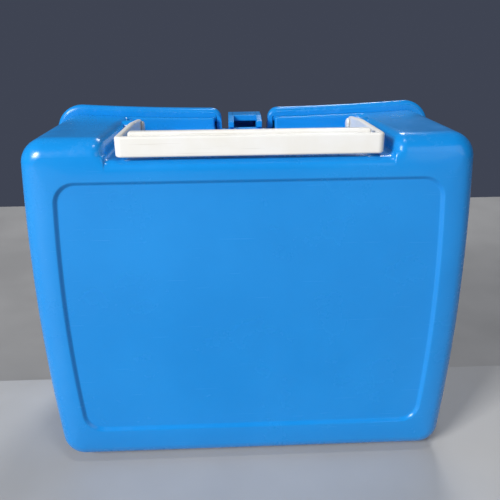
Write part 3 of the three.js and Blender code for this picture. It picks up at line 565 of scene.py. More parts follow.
def front_cover_sheet():
    """One closed sheet: from the middle of the front panel out over its step and border, round the
    front edge, over the rim's bead to the lip, and back inside to the middle of the inner front. Along
    the top, a gap between the rim's two wings goes down to the latch's pocket."""
    panel = panel_rows(COVER_PANEL_HALF, COVER_PANEL_BOTTOM, COVER_PANEL_TOP, FRONT - PANEL_DEPTH, -1)
    panel_count = len(panel["y"])
    opening = {k: panel[k][-1] for k in ("half", "bottom", "top", "corner")}

    # The front border, below and above the front edge of the pocket's floor.
    sill_round = 0.8
    edge_z = CASE_TOP - COVER_EDGE
    split = (POCKET_FLOOR - sill_round - opening["top"]) / (edge_z - TOP_DIP - opening["top"])
    low_border = np.linspace(0, split, 6)[1:]
    turn_s = quarter(5)
    pocket_mouth_y = stations(FRONT - sill_round * (1 - np.cos(turn_s))[1:], np.linspace(53.4, 50, 5))
    high_border = split + (1 - split) * np.linspace(0, 1, len(pocket_mouth_y) + 1)[1:]
    share = stations(low_border, high_border)

    # The front edge, the sides, the slope up to the bead, the bead and the lip.
    turn_f = quarter(8)[1:]
    round_y = FRONT - COVER_EDGE * (1 - np.cos(turn_f))
    round_inset = COVER_EDGE * (1 - np.sin(turn_f))
    slope = np.linspace(0, 1, 6)
    side_y = stations(FRONT - COVER_EDGE - 1.2, COVER_LIP + RIM_DEPTH - slope * 0.25 * RIM_DEPTH)
    side_proud = stations(0, 0.1 * (1 - slope) + 0.6 * slope - 0.1 * (1 - slope) ** 4)
    foot = 1.0
    turn_q = quarter(5)
    wall_z = np.linspace(POCKET_FLOOR + foot, RECESS_FLOOR - sill_round, 8)[1:-1]
    bead_count = 2 * len(turn_q) + len(wall_z) + 1
    bead = (1 - np.cos(np.linspace(0, math.pi, bead_count + 1)[1:])) / 2
    bead_y = COVER_LIP + 0.75 * RIM_DEPTH * (1 - bead) + 0.5 * bead
    bead_proud = 1 - 0.4 * np.abs(2 * bead - 1) ** 4
    turn_l = quarter(4)[1:]
    lip_y = COVER_LIP + LIP_ROUND * (1 - np.sin(turn_l))
    outer_y = stations(round_y, side_y, bead_y, lip_y)
    outer_inset = stations(round_inset, 0 * side_y, 0 * bead_y, LIP_ROUND * (1 - np.cos(turn_l)))
    outer_proud = stations(0 * round_y, side_proud, bead_proud, np.full(len(turn_l), bead_proud[-1]))

    inner_front = FRONT - WALL - PANEL_DEPTH
    inner_round = COVER_EDGE - WALL
    face = stations(0.35, 0.7, 0.95)
    face_proud = outer_proud[-1] * (1 - face)
    face_inset = LIP_ROUND + (WALL - 0.2 - LIP_ROUND) * face
    turn_i = quarter(6)
    inner_y = stations(COVER_LIP + 0.1, COVER_LIP + 0.6, np.linspace(COVER_LIP + 2, inner_front - 3.2, 5))
    inner_turn_y = inner_front - inner_round * (1 - np.sin(turn_i))
    inner_turn_inset = WALL + inner_round * (1 - np.cos(turn_i))
    ring_y = stations(outer_y, np.full(len(face), COVER_LIP), inner_y, inner_turn_y)
    ring_inset = stations(outer_inset, face_inset, np.full(len(inner_y), WALL), inner_turn_inset)
    ring_proud = stations(outer_proud, face_proud, 0 * inner_y, 0 * inner_turn_y)

    closing = stations(*CLOSING)
    ring_half = MOUTH_HALF + RIM_SIDE * ring_proud - ring_inset
    half = stations(panel["half"], between(share, opening["half"], MOUTH_HALF - COVER_EDGE), ring_half)
    border_bottom = between(share, opening["bottom"], CASE_BOTTOM + COVER_EDGE)
    bottom = stations(panel["bottom"], border_bottom, CASE_BOTTOM + ring_inset)
    ring_top = CASE_TOP + RIM_TOP * ring_proud - ring_inset
    top = stations(panel["top"], between(share, opening["top"], edge_z), ring_top)
    ring_corner = CORNER + RIM_SIDE * ring_proud - ring_inset
    corner = stations(panel["corner"], between(share, opening["corner"], CORNER - COVER_EDGE), ring_corner)
    border_bow = between(share, PANEL_BOW, SIDE_BOW)
    bow = stations(np.full(panel_count, PANEL_BOW), border_bow, np.full(len(ring_y), SIDE_BOW))
    dip = stations(np.zeros(panel_count), between(share, 0, TOP_DIP), np.full(len(ring_y), TOP_DIP))
    y = stations(panel["y"], np.full(len(share), FRONT), ring_y)
    half, bottom, top, corner, bow, dip, y = [
        stations(v, np.full(len(closing), v[-1])) for v in (half, bottom, top, corner, bow, dip, y)
    ]
    count = len(y)
    station = np.arange(count)

    a = panel_count + len(low_border)
    b = panel_count + len(share)
    c = b + len(round_y) + len(side_y)
    d = c + len(bead_y)
    e = b + len(outer_y)
    outer_across = mirrored(cover_distances(GAP_HALF, WING_ROUND, 0.8))
    inner_across = mirrored(cover_distances(GAP_HALF + POCKET_WALL, 1.0, 1.0))
    inward = smooth_step(0, 1, (station - e + 1) / 4)
    across = outer_across + (inner_across - outer_across) * column(inward)
    x, z, columns = outline(half, bow, bottom, top, corner, dip, across, COVER_ZONE, COVER_OUTER_STEPS)
    depth_y = np.broadcast_to(column(y), x.shape).copy()

    # The wings' ends turn down, and the pocket's upright edges are rounded.
    wing = stations(np.zeros(a), smooth_step(0.35, 1, high_border), np.ones(count - b))
    top_line = z[:, columns].copy()
    wing_fall = rounding(np.abs(across) - GAP_HALF - WALL_DRAFT, WING_ROUND)
    top_line[:e] -= (wing_fall * column(wing))[:e]
    toward_y = stations(-np.ones(b), -np.cos(turn_f), np.zeros(count - b - len(turn_f)))
    toward_z = stations(np.zeros(b), -np.sin(turn_f), -np.ones(count - b - len(turn_f)))
    edge_fall = np.zeros(count)
    edge_fall[a:b] = np.minimum(0.8, 0.85 * (np.median(z[a:b, columns], 1) - POCKET_FLOOR + sill_round))
    edge_fall[a:b] *= 1 - wing[a:b]

    # Under the gap: the pocket's floor, its back wall, and the sill behind the wall.
    floor_y = y.copy()
    floor_z = top.copy()
    out_y = np.ones(count)
    out_z = np.zeros(count)
    floor_y[a:b] = pocket_mouth_y
    floor_z[a:b] = POCKET_FLOOR - sill_round * stations(1 - np.sin(turn_s)[1:], np.zeros(5))
    out_y[a:b] = stations(np.cos(turn_s)[1:], np.zeros(5))
    out_z[a:b] = stations(np.sin(turn_s)[1:], np.ones(5))
    floor_y[b:c] = np.linspace(49.5, POCKET_BACK + foot + 0.4, c - b)
    floor_z[b:c] = POCKET_FLOOR
    out_y[b:c] = 0
    out_z[b:c] = 1
    floor_y[c:d] = stations(
        POCKET_BACK + foot * (1 - np.sin(turn_q)),
        np.full(len(wall_z), POCKET_BACK),
        POCKET_BACK - sill_round * (1 - np.cos(turn_q)),
        (POCKET_BACK + COVER_LIP) / 2,
    )
    floor_z[c:d] = stations(
        POCKET_FLOOR + foot * (1 - np.cos(turn_q)),
        wall_z,
        RECESS_FLOOR - sill_round * (1 - np.sin(turn_q)),
        RECESS_FLOOR,
    )
    out_y[c:d] = stations(np.sin(turn_q), np.ones(len(wall_z)), np.cos(turn_q), 0)
    out_z[c:d] = stations(np.cos(turn_q), np.zeros(len(wall_z)), np.sin(turn_q), 1)
    floor_z[d:e] = RECESS_FLOOR - LIP_ROUND * (1 - np.cos(turn_l))
    out_y[d:e] = 0
    out_z[d:e] = 1
    foot_rise = np.zeros(count)
    foot_rise[a:e] = 0.8
    foot_rise[a : a + len(turn_s) - 1] *= np.linspace(0.1, 1, len(turn_s) - 1)
    foot_rise[d:e] *= np.linspace(0.6, 0.2, e - d)

    floor_lines = np.where(column(station < a), top_line, column(floor_z))
    outer_lines = (column(y), top_line, column(toward_y), column(toward_z))
    floors = (column(floor_y), floor_lines, column(out_y), column(out_z))
    edge = (0.8 * WING_ROUND, column(edge_fall))
    cut_y, cut_z = cut_down(across, outer_lines, floors, GAP_HALF, edge, (0.8, column(foot_rise)))

    # Inside, the pocket shows as a boss that hangs from the top.
    boss_z = POCKET_FLOOR - POCKET_WALL
    boss_half = GAP_HALF + POCKET_WALL
    nothing = column(np.zeros(count))
    ceiling = (column(y), z[:, columns], nothing, nothing - 1)
    boss = (column(y), boss_z + 0 * across, nothing, nothing + 1)
    lean = column(np.where(station >= e, 1.0, 0.0))
    _, in_z = cut_down(across, ceiling, boss, boss_half, (1.0, lean), (1.0, 0 * lean))
    fade = column(np.clip((station - e + 1) / 4, 0, 1))
    mouth = slice(e, e + 3)
    in_z[mouth] = cut_z[e - 1] + (in_z[mouth] - cut_z[e - 1]) * fade[mouth]
    outer_rows = column(station < e)
    z[:, columns] = np.where(outer_rows, cut_z, in_z)
    depth_y[:, columns] = np.where(outer_rows, cut_y, depth_y[:, columns])

    tail = slice(count - len(closing), count)
    z[tail] = gentle_notch(x[tail], z[tail], boss_half, boss_z)
    x[:panel_count], z[:panel_count] = shrink(x[:panel_count], z[:panel_count], column(panel["share"]))
    x[tail], z[tail] = shrink(x[tail], z[tail], column(closing))
    wear = np.zeros(x.shape)
    wear[b : b + len(round_y)] = column(np.sin(2 * turn_f) ** 2)
    wear[c:e] = column(np.clip(1 - bead_proud.max() + 2 * (1 - outer_proud[c - b :]), 0, 1))
    return np.stack([x, np.minimum(depth_y, FRONT), z], -1), wear


grid, wear = front_cover_sheet()
points, faces = closed_tube(grid)
front_cover = mesh_object("front_cover_shell", points, faces, np.append(wear.ravel(), [0, 0]))
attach(front_cover, "cover")
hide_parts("front_cover")
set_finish(front_cover, "blue_plastic")


# ---------- small rounded shapes ----------
def signed_turn(steps):
    """Angles once round, with each quarter sampled on its own, and the signs of that quarter."""
    angle = np.concatenate([k * math.pi / 2 + quarter(steps) for k in range(4)])
    signs = np.repeat([[1, 1], [-1, 1], [-1, -1], [1, -1]], steps, 0)
    return angle, signs


def rounded_block(low, high, radius, steps=5):
    """A box with all its edges rounded: a ball's surface whose eight eighths are moved apart, so that
    each point is a corner's centre plus radius times the ball's own direction there."""
    low, high = np.array(low, float), np.array(high, float)
    core = (high - low) / 2 - radius
    around, signs = signed_turn(steps)
    up = np.concatenate([-quarter(steps)[::-1], quarter(steps)])
    up_sign = np.repeat([-1, 1], steps)
    x = core[0] * signs[:, 0] + radius * np.cos(around) * column(np.cos(up))
    y = core[1] * signs[:, 1] + radius * np.sin(around) * column(np.cos(up))
    z = column(core[2] * up_sign + radius * np.sin(up)) + 0 * x
    return closed_tube(np.stack([x, y, z], -1) + (low + high) / 2)


def side_block(side, near, far, y0, y1, z0, z1, radius):
    """A rounded block between two distances from the middle, on one side of the box."""
    x0, x1 = sorted((side * near, side * far))
    return rounded_block((x0, y0, z0), (x1, y1, z1), radius)


def turned_piece(x, radius, y, z, steps=40):
    """A profile of radii along X, turned about an axis at (y, z) and closed at both ends."""
    angle = np.linspace(0, 2 * math.pi, steps, endpoint=False)
    ring_y = y + column(radius) * np.cos(angle)
    ring_z = z + column(radius) * np.sin(angle)
    return closed_tube(np.stack([column(x) + 0 * ring_y, ring_y, ring_z], -1))


def turned_ring(x, radius, y, z, steps=40):
    """A closed loop of (x, radius) turned about an axis at (y, z): a sleeve with a bore."""
    angle = np.linspace(0, 2 * math.pi, steps, endpoint=False)
    ring_y = y + column(radius) * np.cos(angle)
    ring_z = z + column(radius) * np.sin(angle)
    grid = np.stack([column(x) + 0 * ring_y, ring_y, ring_z], -1)
    return grid.reshape(-1, 3), [ring_faces(len(x), steps, closed=True)]


def rounded_loop(outline_points, radius, steps=5):
    """A polygon with its corners rounded by arcs of one radius. Each arc runs between the tangent
    points on the two edges, as a quadratic curve pulled to the corner."""
    p = np.array(outline_points, float)
    before, after = np.roll(p, 1, 0) - p, np.roll(p, -1, 0) - p
    length_b = np.linalg.norm(before, axis=1, keepdims=True)
    length_a = np.linalg.norm(after, axis=1, keepdims=True)
    reach = np.minimum(radius, 0.45 * np.minimum(length_a, length_b))
    start, end = p + before / length_b * reach, p + after / length_a * reach
    t = np.linspace(0, 1, steps)[None, :, None]
    arcs = (1 - t) ** 2 * start[:, None] + 2 * t * (1 - t) * p[:, None] + t**2 * end[:, None]
    return arcs.reshape(-1, 2)


def slab_across(outline_points, x0, x1, corner, edge, steps=5):
    """A flat plate whose outline in Y and Z is carried along X. Its corners are rounded, and towards
    both faces the outline draws in along a quarter round, as a share of the way to its middle."""
    loop = rounded_loop(outline_points, corner)
    middle = loop.mean(0)
    spread = loop - middle
    distance = np.linalg.norm(spread, axis=1, keepdims=True)
    turn = quarter(steps)
    inset = stations(edge * (1 - np.sin(turn)), edge * (1 - np.sin(turn))[::-1])
    x = stations(x0 + edge * (1 - np.cos(turn)), x1 - edge * (1 - np.cos(turn))[::-1])
    rows = middle + spread * (1 - inset[:, None, None] / distance)
    return closed_tube(np.concatenate([column(x)[:, None] + 0 * rows[..., :1], rows], -1))


# ---------- carrying handle ----------
HANDLE_HALF = handle_high[0]
HANDLE_BACK = handle_low[1]
STRAP = 3.2
STRAP_TOP = 191.2
STRAP_CORNER = 3.4
STRAP_ROUND = 1.1
STRAP_BOTTOM = 181.3
GRIP_HALF = 58.4
GRIP_GROOVE = 0.8
GRIP_DEPTH = 5.2
GRIP_TOP = handle_high[2]
ARM_END_RADIUS = 4.4
ARM_TOP_TAPER = 25.0
ARM_BOTTOM_TAPER = 8.0
_, HANDLE_PIVOT_Y, HANDLE_PIVOT_Z = joint_mm("handle_pivot")


def arm_height(y):
    """Top and bottom of an arm at a depth: level from the grip, then straight tapers to the round end,
    and the end's circle past the pivot."""
    beyond = np.clip(y - HANDLE_PIVOT_Y, 0, ARM_END_RADIUS)
    half = np.sqrt(ARM_END_RADIUS**2 - beyond**2)
    top = np.interp(
        y, [HANDLE_PIVOT_Y - ARM_TOP_TAPER, HANDLE_PIVOT_Y], [STRAP_TOP, HANDLE_PIVOT_Z + ARM_END_RADIUS]
    )
    taper_start = HANDLE_PIVOT_Y - ARM_BOTTOM_TAPER
    low = np.interp(y, [taper_start, HANDLE_PIVOT_Y], [STRAP_BOTTOM, HANDLE_PIVOT_Z - ARM_END_RADIUS])
    past = y > HANDLE_PIVOT_Y
    return np.where(past, HANDLE_PIVOT_Z + half, top), np.where(past, HANDLE_PIVOT_Z - half, low)


def strap_shape():
    """A rounded flat section carried along a U: from the left arm's round end to the grip side, round
    the corner, across, and back along the right arm. Its height follows arm_height."""
    centre = STRAP_CORNER - STRAP / 2
    middle_x = HANDLE_HALF - STRAP / 2
    middle_y = HANDLE_BACK + STRAP / 2
    end = np.sin(np.linspace(0.97 * math.pi / 2, 0, 12)) * ARM_END_RADIUS + HANDLE_PIVOT_Y
    along = np.linspace(HANDLE_PIVOT_Y - 2, middle_y + centre + 1, 16)
    turn = quarter(9)
    arm_y = stations(end, along)
    corner_x = -(middle_x - centre) - centre * np.cos(turn)
    corner_y = middle_y + centre - centre * np.sin(turn)
    half_x = stations(np.full(len(arm_y), -middle_x), corner_x)
    half_y = stations(arm_y, corner_y)
    half_nx = stations(-np.ones(len(arm_y)), -np.cos(turn))
    half_ny = stations(np.zeros(len(arm_y)), -np.sin(turn))
    bar = np.linspace(-(middle_x - centre), middle_x - centre, 14)[1:-1]
    x = stations(half_x, bar, -half_x[::-1])
    y = stations(half_y, np.full(len(bar), middle_y), half_y[::-1])
    nx = stations(half_nx, 0 * bar, -half_nx[::-1])
    ny = stations(half_ny, -np.ones(len(bar)), half_ny[::-1])
    top, low = arm_height(y)
    angle, signs = signed_turn(5)
    half_height = (top - low) / 2
    radius = np.minimum(STRAP_ROUND, 0.9 * half_height)
    across = signs[:, 0] * column(STRAP / 2 - radius) + column(radius) * np.cos(angle)
    up = signs[:, 1] * column(half_height - radius) + column(radius) * np.sin(angle)
    grid = np.stack(
        [column(x) + column(nx) * across, column(y) + column(ny) * across, column((top + low) / 2) + up], -1
    )
    return closed_tube(grid)


def grip_shapes():
    """The grip bar behind the strap, and the thin web that joins them below the groove."""
    start = HANDLE_BACK + STRAP + GRIP_GROOVE
    bar = rounded_block(
        (-GRIP_HALF, start, STRAP_BOTTOM), (GRIP_HALF, start + GRIP_DEPTH, GRIP_TOP), 1.2
    )
    web_low = (-GRIP_HALF + 1, HANDLE_BACK + STRAP / 2, STRAP_BOTTOM + 1.5)
    web = rounded_block(web_low, (GRIP_HALF - 1, start + 2, STRAP_TOP - 1.5), 0.4)
    return [bar, web]


def add_piece(name, shape, body, slot, *replaced):
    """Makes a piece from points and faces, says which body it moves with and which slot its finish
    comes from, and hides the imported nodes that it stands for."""
    made = mesh_object(name, *shape)
    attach(made, body)
    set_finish(made, slot)
    if replaced:
        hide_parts(*replaced)
    return made


handle_shape = joined_shapes([strap_shape(), *grip_shapes()])
add_piece("handle_moulding", handle_shape, "handle", "white_plastic", "carry_handle")


# ---------- pins ----------
PIN_RADIUS = 2.0
PIN_HEAD = 1.4


def handle_pin_shape(side):
    """A headed pin. The head is domed: its radius follows a quarter ellipse over most of its length."""
    turn = quarter(9)
    low, high = box_mm("handle_pin_left" if side < 0 else "handle_pin_right")
    inner = min(abs(low[0]), abs(high[0]))
    outer = max(abs(low[0]), abs(high[0]))
    head = PIN_RADIUS + PIN_HEAD
    x = stations(inner + 0.9 * PIN_HEAD * (1 - np.cos(turn)), inner + PIN_HEAD - 0.1, inner + PIN_HEAD)
    r = stations(head * np.sqrt(np.sin(turn)) * 0.995 + 0.02, head, head - 0.1)
    x = stations(x, inner + PIN_HEAD + 0.02, outer - 0.4, outer)
    r = stations(r, PIN_RADIUS, PIN_RADIUS, PIN_RADIUS - 0.4)
    return turned_piece(side * x, r, HANDLE_PIVOT_Y, HANDLE_PIVOT_Z)


def straight_pin_shape(node, y, z):
    """A plain steel pin as long as its node, with a small chamfer at each end."""
    low, high = box_mm(node)
    radius = (high[2] - low[2]) / 2
    cut = 0.25 * radius
    x = [low[0], low[0] + cut, low[0] + 2 * cut, high[0] - 2 * cut, high[0] - cut, high[0]]
    r = [radius - cut, radius - 0.1 * cut, radius, radius, radius - 0.1 * cut, radius - cut]
    return turned_piece(x, r, y, z, 28)


_, HINGE_Y, HINGE_Z = joint_mm("cover_hinge")
_, LATCH_PIVOT_Y, LATCH_PIVOT_Z = joint_mm("latch_pivot")
for side, word in ((-1, "left"), (1, "right")):
    add_piece(f"{word}_handle_pin", handle_pin_shape(side), "case", "white_plastic", f"handle_pin_{word}")
    hinge_pin = straight_pin_shape(f"hinge_pin_{word}", HINGE_Y, HINGE_Z)
    add_piece(f"{word}_hinge_pin", hinge_pin, "case", "steel", f"hinge_pin_{word}")
latch_pin = straight_pin_shape("latch_pin", LATCH_PIVOT_Y, LATCH_PIVOT_Z)
add_piece("pivot_pin", latch_pin, "cover", "steel", "latch_pin")


# ---------- hinges, feet and inner fittings ----------
HINGE_X = 62.0
KNUCKLE_RADIUS = 2.7
KNUCKLE_HALF = 19.5
MIDDLE_KNUCKLE = 6.6
KNUCKLE_BORE = 1.4
HINGE_GAP = 0.6
HINGE_WEB = 4.0
HINGE_PAD = 7.5
HINGE_PAD_DEPTH = 5.0


def knuckle_shape(x0, x1, towards):
    """A hinge barrel with a bore and rounded rims, and the web that ties it to its shell's floor."""
    turn = quarter(4)
    rim = 0.35
    rise = KNUCKLE_RADIUS - rim * (1 - np.sin(turn))
    x = stations(x0 + 0.1, x0 + rim * (1 - np.cos(turn)), x1 - rim * (1 - np.cos(turn))[::-1], x1 - 0.1)
    r = stations(KNUCKLE_BORE, rise, rise[::-1], KNUCKLE_BORE)
    sleeve = turned_ring(x, r, HINGE_Y, HINGE_Z, 36)
    far = HINGE_Y + towards * HINGE_WEB
    web = slab_across(
        [
            (HINGE_Y + towards * 1.6, HINGE_Z - KNUCKLE_RADIUS + 0.6),
            (far, CASE_BOTTOM + 0.05),
            (far, CASE_BOTTOM + WALL),
            (HINGE_Y + towards * 1.6, HINGE_Z + KNUCKLE_RADIUS - 0.6),
        ],
        x0 + 0.15,
        x1 - 0.15,
        0.3,
        0.3,
    )
    return joined_shapes([sleeve, web])


def spans(side):
    """Where one hinge's barrels are along X: two on the case, with one on the cover between them."""
    middle = side * HINGE_X
    near = MIDDLE_KNUCKLE + HINGE_GAP
    case_spans = [(middle - KNUCKLE_HALF, middle - near), (middle + near, middle + KNUCKLE_HALF)]
    return case_spans, [(middle - MIDDLE_KNUCKLE, middle + MIDDLE_KNUCKLE)]


def knuckle_room(x0, x1):
    """Room round a barrel, a little longer and wider than it is, used to cut the other shell."""
    x = [x0 - HINGE_GAP, x1 + HINGE_GAP]
    return turned_piece(x, [KNUCKLE_RADIUS + HINGE_GAP] * 2, HINGE_Y, HINGE_Z, 48)


MERGE_DISTANCE = 2e-6


def cut_away(piece, cutters):
    """Takes closed shapes out of a piece for good, and leaves no modifier on it."""
    tools = [mesh_object(f"cutter_{k}", *shape) for k, shape in enumerate(cutters)]
    for tool in tools:
        cut = piece.modifiers.new(tool.name, "BOOLEAN")
        cut.operation = "DIFFERENCE"
        cut.solver = "EXACT"
        cut.object = tool
    shaped = piece.evaluated_get(bpy.context.evaluated_depsgraph_get())
    mesh = bpy.data.meshes.new_from_object(shaped)
    merged = bmesh.new()
    merged.from_mesh(mesh)
    bmesh.ops.remove_doubles(merged, verts=merged.verts, dist=MERGE_DISTANCE)
    merged.to_mesh(mesh)
    merged.free()
    piece.modifiers.clear()
    piece.data = mesh
    for tool in tools:
        bpy.data.objects.remove(tool)


case_rooms = []
cover_rooms = []
case_fittings = []
cover_fittings = []
for side, word in ((-1, "left"), (1, "right")):
    case_spans, cover_spans = spans(side)
    case_rooms += [knuckle_room(*s) for s in cover_spans]
    cover_rooms += [knuckle_room(*s) for s in case_spans]
    for number, span in enumerate(case_spans, 1):
        add_piece(f"case_barrel_{word}_{number}", knuckle_shape(*span, -1), "case", "blue_plastic")
    for span in cover_spans:
        add_piece(f"cover_barrel_{word}", knuckle_shape(*span, 1), "cover", "blue_plastic")
    inner, outer = HINGE_X - KNUCKLE_HALF - WALL, HINGE_X + KNUCKLE_HALF + WALL
    pad_top = CASE_BOTTOM + HINGE_PAD
    floor = CASE_BOTTOM + 1
    case_pad = side_block(side, inner, outer, CASE_LIP - HINGE_PAD_DEPTH, CASE_LIP, floor, pad_top, 0.8)
    cover_pad = side_block(side, inner, outer, COVER_LIP, COVER_LIP + HINGE_PAD_DEPTH, floor, pad_top, 0.8)
    case_fittings.append(add_piece(f"case_hinge_pad_{word}", case_pad, "case", "blue_plastic"))
    cover_fittings.append(add_piece(f"cover_hinge_pad_{word}", cover_pad, "cover", "blue_plastic"))
for piece in [rear_case, *case_fittings]:
    cut_away(piece, case_rooms)
for piece in [front_cover, *cover_fittings]:
    cut_away(piece, cover_rooms)

FOOT_LENGTH = 24.0
FOOT_WIDTH = 9.0
FOOT_OUTER = MOUTH_HALF - SIDE_BOW - CORNER - 3
foot_rows = {"rear": BACK + EDGE_ROUND + 2, "front": JOINT - FOOT_WIDTH - 6}
for side, word in ((-1, "left"), (1, "right")):
    for place, y in foot_rows.items():
        foot = side_block(
            side, FOOT_OUTER - FOOT_LENGTH, FOOT_OUTER, y, y + FOOT_WIDTH, 0, CASE_BOTTOM + WALL / 2, 1.1
        )
        add_piece(f"{place}_foot_{word}", foot, "case", "blue_plastic")
    boss = side_block(
        side,
        RECESS_HALF + 2,
        RECESS_HALF + 8,
        HANDLE_PIVOT_Y - 6,
        HANDLE_PIVOT_Y + 6,
        RECESS_FLOOR - WALL,
        CASE_TOP - WALL / 2 - TOP_DIP / 2,
        0.8,
    )
    add_piece(f"pin_boss_{word}", boss, "case", "blue_plastic")

COLLAR_RADIUS = 4.0
for side, word in ((-1, "left"), (1, "right")):
    turn = quarter(5)
    start = HANDLE_HALF + 0.4
    x = stations(start + 0.5 * (1 - np.cos(turn)), RECESS_HALF + 2)
    r = stations(COLLAR_RADIUS - 0.5 * (1 - np.sin(turn)), COLLAR_RADIUS)
    collar = turned_piece(side * x, r, HANDLE_PIVOT_Y, HANDLE_PIVOT_Z)
    add_piece(f"pin_collar_{word}", collar, "case", "blue_plastic")

CATCH_START = JOINT - 11
CATCH_TOP = 181.8
catch = slab_across(
    [
        (CATCH_START, RECESS_FLOOR - 1),
        (CATCH_START + 5, RECESS_FLOOR - 1),
        (CATCH_START + 5, CATCH_TOP - 0.6),
        (CATCH_START + 4, CATCH_TOP),
        (CATCH_START + 2, CATCH_TOP),
    ],
    latch_low[0],
    latch_high[0],
    0.6,
    0.4,
)
add_piece("catch_ridge", catch, "case", "blue_plastic")


# ---------- latch ----------
LATCH_SIDE = 3.4
LATCH_BARREL = 3.5
LATCH_FACE = 3.0
LATCH_TOP_WALL = 3.8
LATCH_NOSE = 1.5
LATCH_TOE_DROP = 2.4
LATCH_HEEL = 4.5
LATCH_BACK = POCKET_BACK + 0.6
LATCH_OPENING = JOINT - 1.5
PIN_BORE = 1.4
TOE_GAP = 0.3


def latch_shapes():
    """Two side walls whose toes reach back over the catch, and between them one bent plate: heel,
    front and top. Each is a flat outline carried along X, and a sleeve runs round the pin."""
    half, front, top = latch_high
    toe = latch_low[1]
    toe_bottom = CATCH_TOP + TOE_GAP
    heel = (LATCH_PIVOT_Y, LATCH_PIVOT_Z - LATCH_BARREL)
    nose = [(front, LATCH_PIVOT_Z), (front, top - LATCH_NOSE), (front - LATCH_NOSE, top)]
    nose.append((LATCH_OPENING, top))
    toes = [(toe, top - LATCH_TOE_DROP), (toe, toe_bottom), (LATCH_BACK, toe_bottom)]
    side_outline = [heel, *nose, *toes, (LATCH_BACK, LATCH_PIVOT_Z + LATCH_HEEL)]
    inside = half - LATCH_SIDE
    sides = [
        slab_across(side_outline, *sorted((side * inside, side * half)), 0.8, 0.45) for side in (-1, 1)
    ]
    floor = LATCH_PIVOT_Z + LATCH_FACE
    ceiling = top - LATCH_TOP_WALL
    hollow = [
        (LATCH_OPENING, ceiling),
        (front - LATCH_FACE, ceiling),
        (front - LATCH_FACE, floor),
        (LATCH_BACK + 1.8, floor),
    ]
    plate = slab_across([heel, *nose, *hollow], -inside - 0.6, inside + 0.6, 0.8, 0.01)
    turn = quarter(4)
    rim = 0.4 * (1 - np.cos(turn))
    x = stations(-half + 0.1, -half + rim, half - rim[::-1], half - 0.1)
    rise = LATCH_BARREL - 0.4 * (1 - np.sin(turn))
    r = stations(PIN_BORE, rise, rise[::-1], PIN_BORE)
    return [*sides, plate, turned_ring(x, r, LATCH_PIVOT_Y, LATCH_PIVOT_Z)]


add_piece("latch_moulding", joined_shapes(latch_shapes()), "latch", "blue_plastic", "latch")


# ---------- bottle bail ----------
BAIL_WIRE = 1.2
BAIL_X, BAIL_Y, _ = joint_mm("bail_swing")
BAIL_FAR = bail_high[0] - BAIL_WIRE
LUG_HEIGHT = 8.0
LUG_GAP = 4.0
BAIL_END = LUG_GAP + LUG_HEIGHT - 1
BAIL_LOW = bail_low[2] + BAIL_END
BAIL_HIGH = bail_high[2] - BAIL_END


def bend(centre, radius, start, stop, steps=9):
    """Places and headings along an arc in X and Z, from one angle in quarter turns to another."""
    angle = np.linspace(start, stop, steps) * math.pi / 2
    heading = np.sign(stop - start)
    place = np.stack([centre[0] + radius * np.cos(angle), centre[1] + radius * np.sin(angle)], -1)
    return place, heading * np.stack([-np.sin(angle), np.cos(angle)], -1)


def bail_shape():
    """A round wire carried along its bent path: up out of the lower lug, out along the back, up, back
    and up into the upper lug. The path is bends joined by straight runs."""
    tight, wide = 3.0, 5.0
    pieces = [
        (np.array([[BAIL_X, bail_low[2]], [BAIL_X, bail_low[2] + 0.4]]), np.array([[0.0, 1.0]] * 2)),
        bend((BAIL_X + tight, BAIL_LOW - tight), tight, 2, 1),
        bend((BAIL_FAR - wide, BAIL_LOW + wide), wide, -1, 0),
        bend((BAIL_FAR - wide, BAIL_HIGH - wide), wide, 0, 1),
        bend((BAIL_X + tight, BAIL_HIGH + tight), tight, 3, 2),
        (np.array([[BAIL_X, bail_high[2] - 0.4], [BAIL_X, bail_high[2]]]), np.array([[0.0, 1.0]] * 2)),
    ]
    place = np.concatenate([p for p, _ in pieces])
    heading = np.concatenate([h for _, h in pieces])
    radius = np.full(len(place), BAIL_WIRE)
    radius[[0, -1]] = BAIL_WIRE - 0.4
    angle = np.linspace(0, 2 * math.pi, 20, endpoint=False)
    across = column(radius) * np.cos(angle)
    x = column(place[:, 0]) - column(heading[:, 1]) * across
    z = column(place[:, 1]) + column(heading[:, 0]) * across
    y = BAIL_Y + column(radius) * np.sin(angle)
    return closed_tube(np.stack([x, y + 0 * x, z], -1))


add_piece("bail_wire", bail_shape(), "bail", "steel", "bottle_bail")
inner_back = BACK + WALL + PANEL_DEPTH
for word, z in (("lower", BAIL_LOW - LUG_GAP - LUG_HEIGHT), ("upper", BAIL_HIGH + LUG_GAP)):
    lug = rounded_block((BAIL_X - 4.5, inner_back - 1, z), (BAIL_X + 4.5, BAIL_Y + 3, z + LUG_HEIGHT), 1.0)
    add_piece(f"bail_lug_{word}", lug, "case", "blue_plastic")


# ---------- finishes ----------
BLUE_DEEP = (0.005, 0.245, 0.68, 1)
BLUE_LIGHT = (0.008, 0.270, 0.73, 1)
BLUE_PALE = (0.10, 0.42, 0.85, 1)
WHITE_CLEAN = (0.87, 0.865, 0.84, 1)
WHITE_AGED = (0.83, 0.81, 0.75, 1)
WHITE_DIRT = (0.34, 0.29, 0.22, 1)
STEEL_LIGHT = (0.62, 0.63, 0.64, 1)
STEEL_DARK = (0.42, 0.43, 0.45, 1)
STEEL_OXIDE = (0.20, 0.17, 0.14, 1)


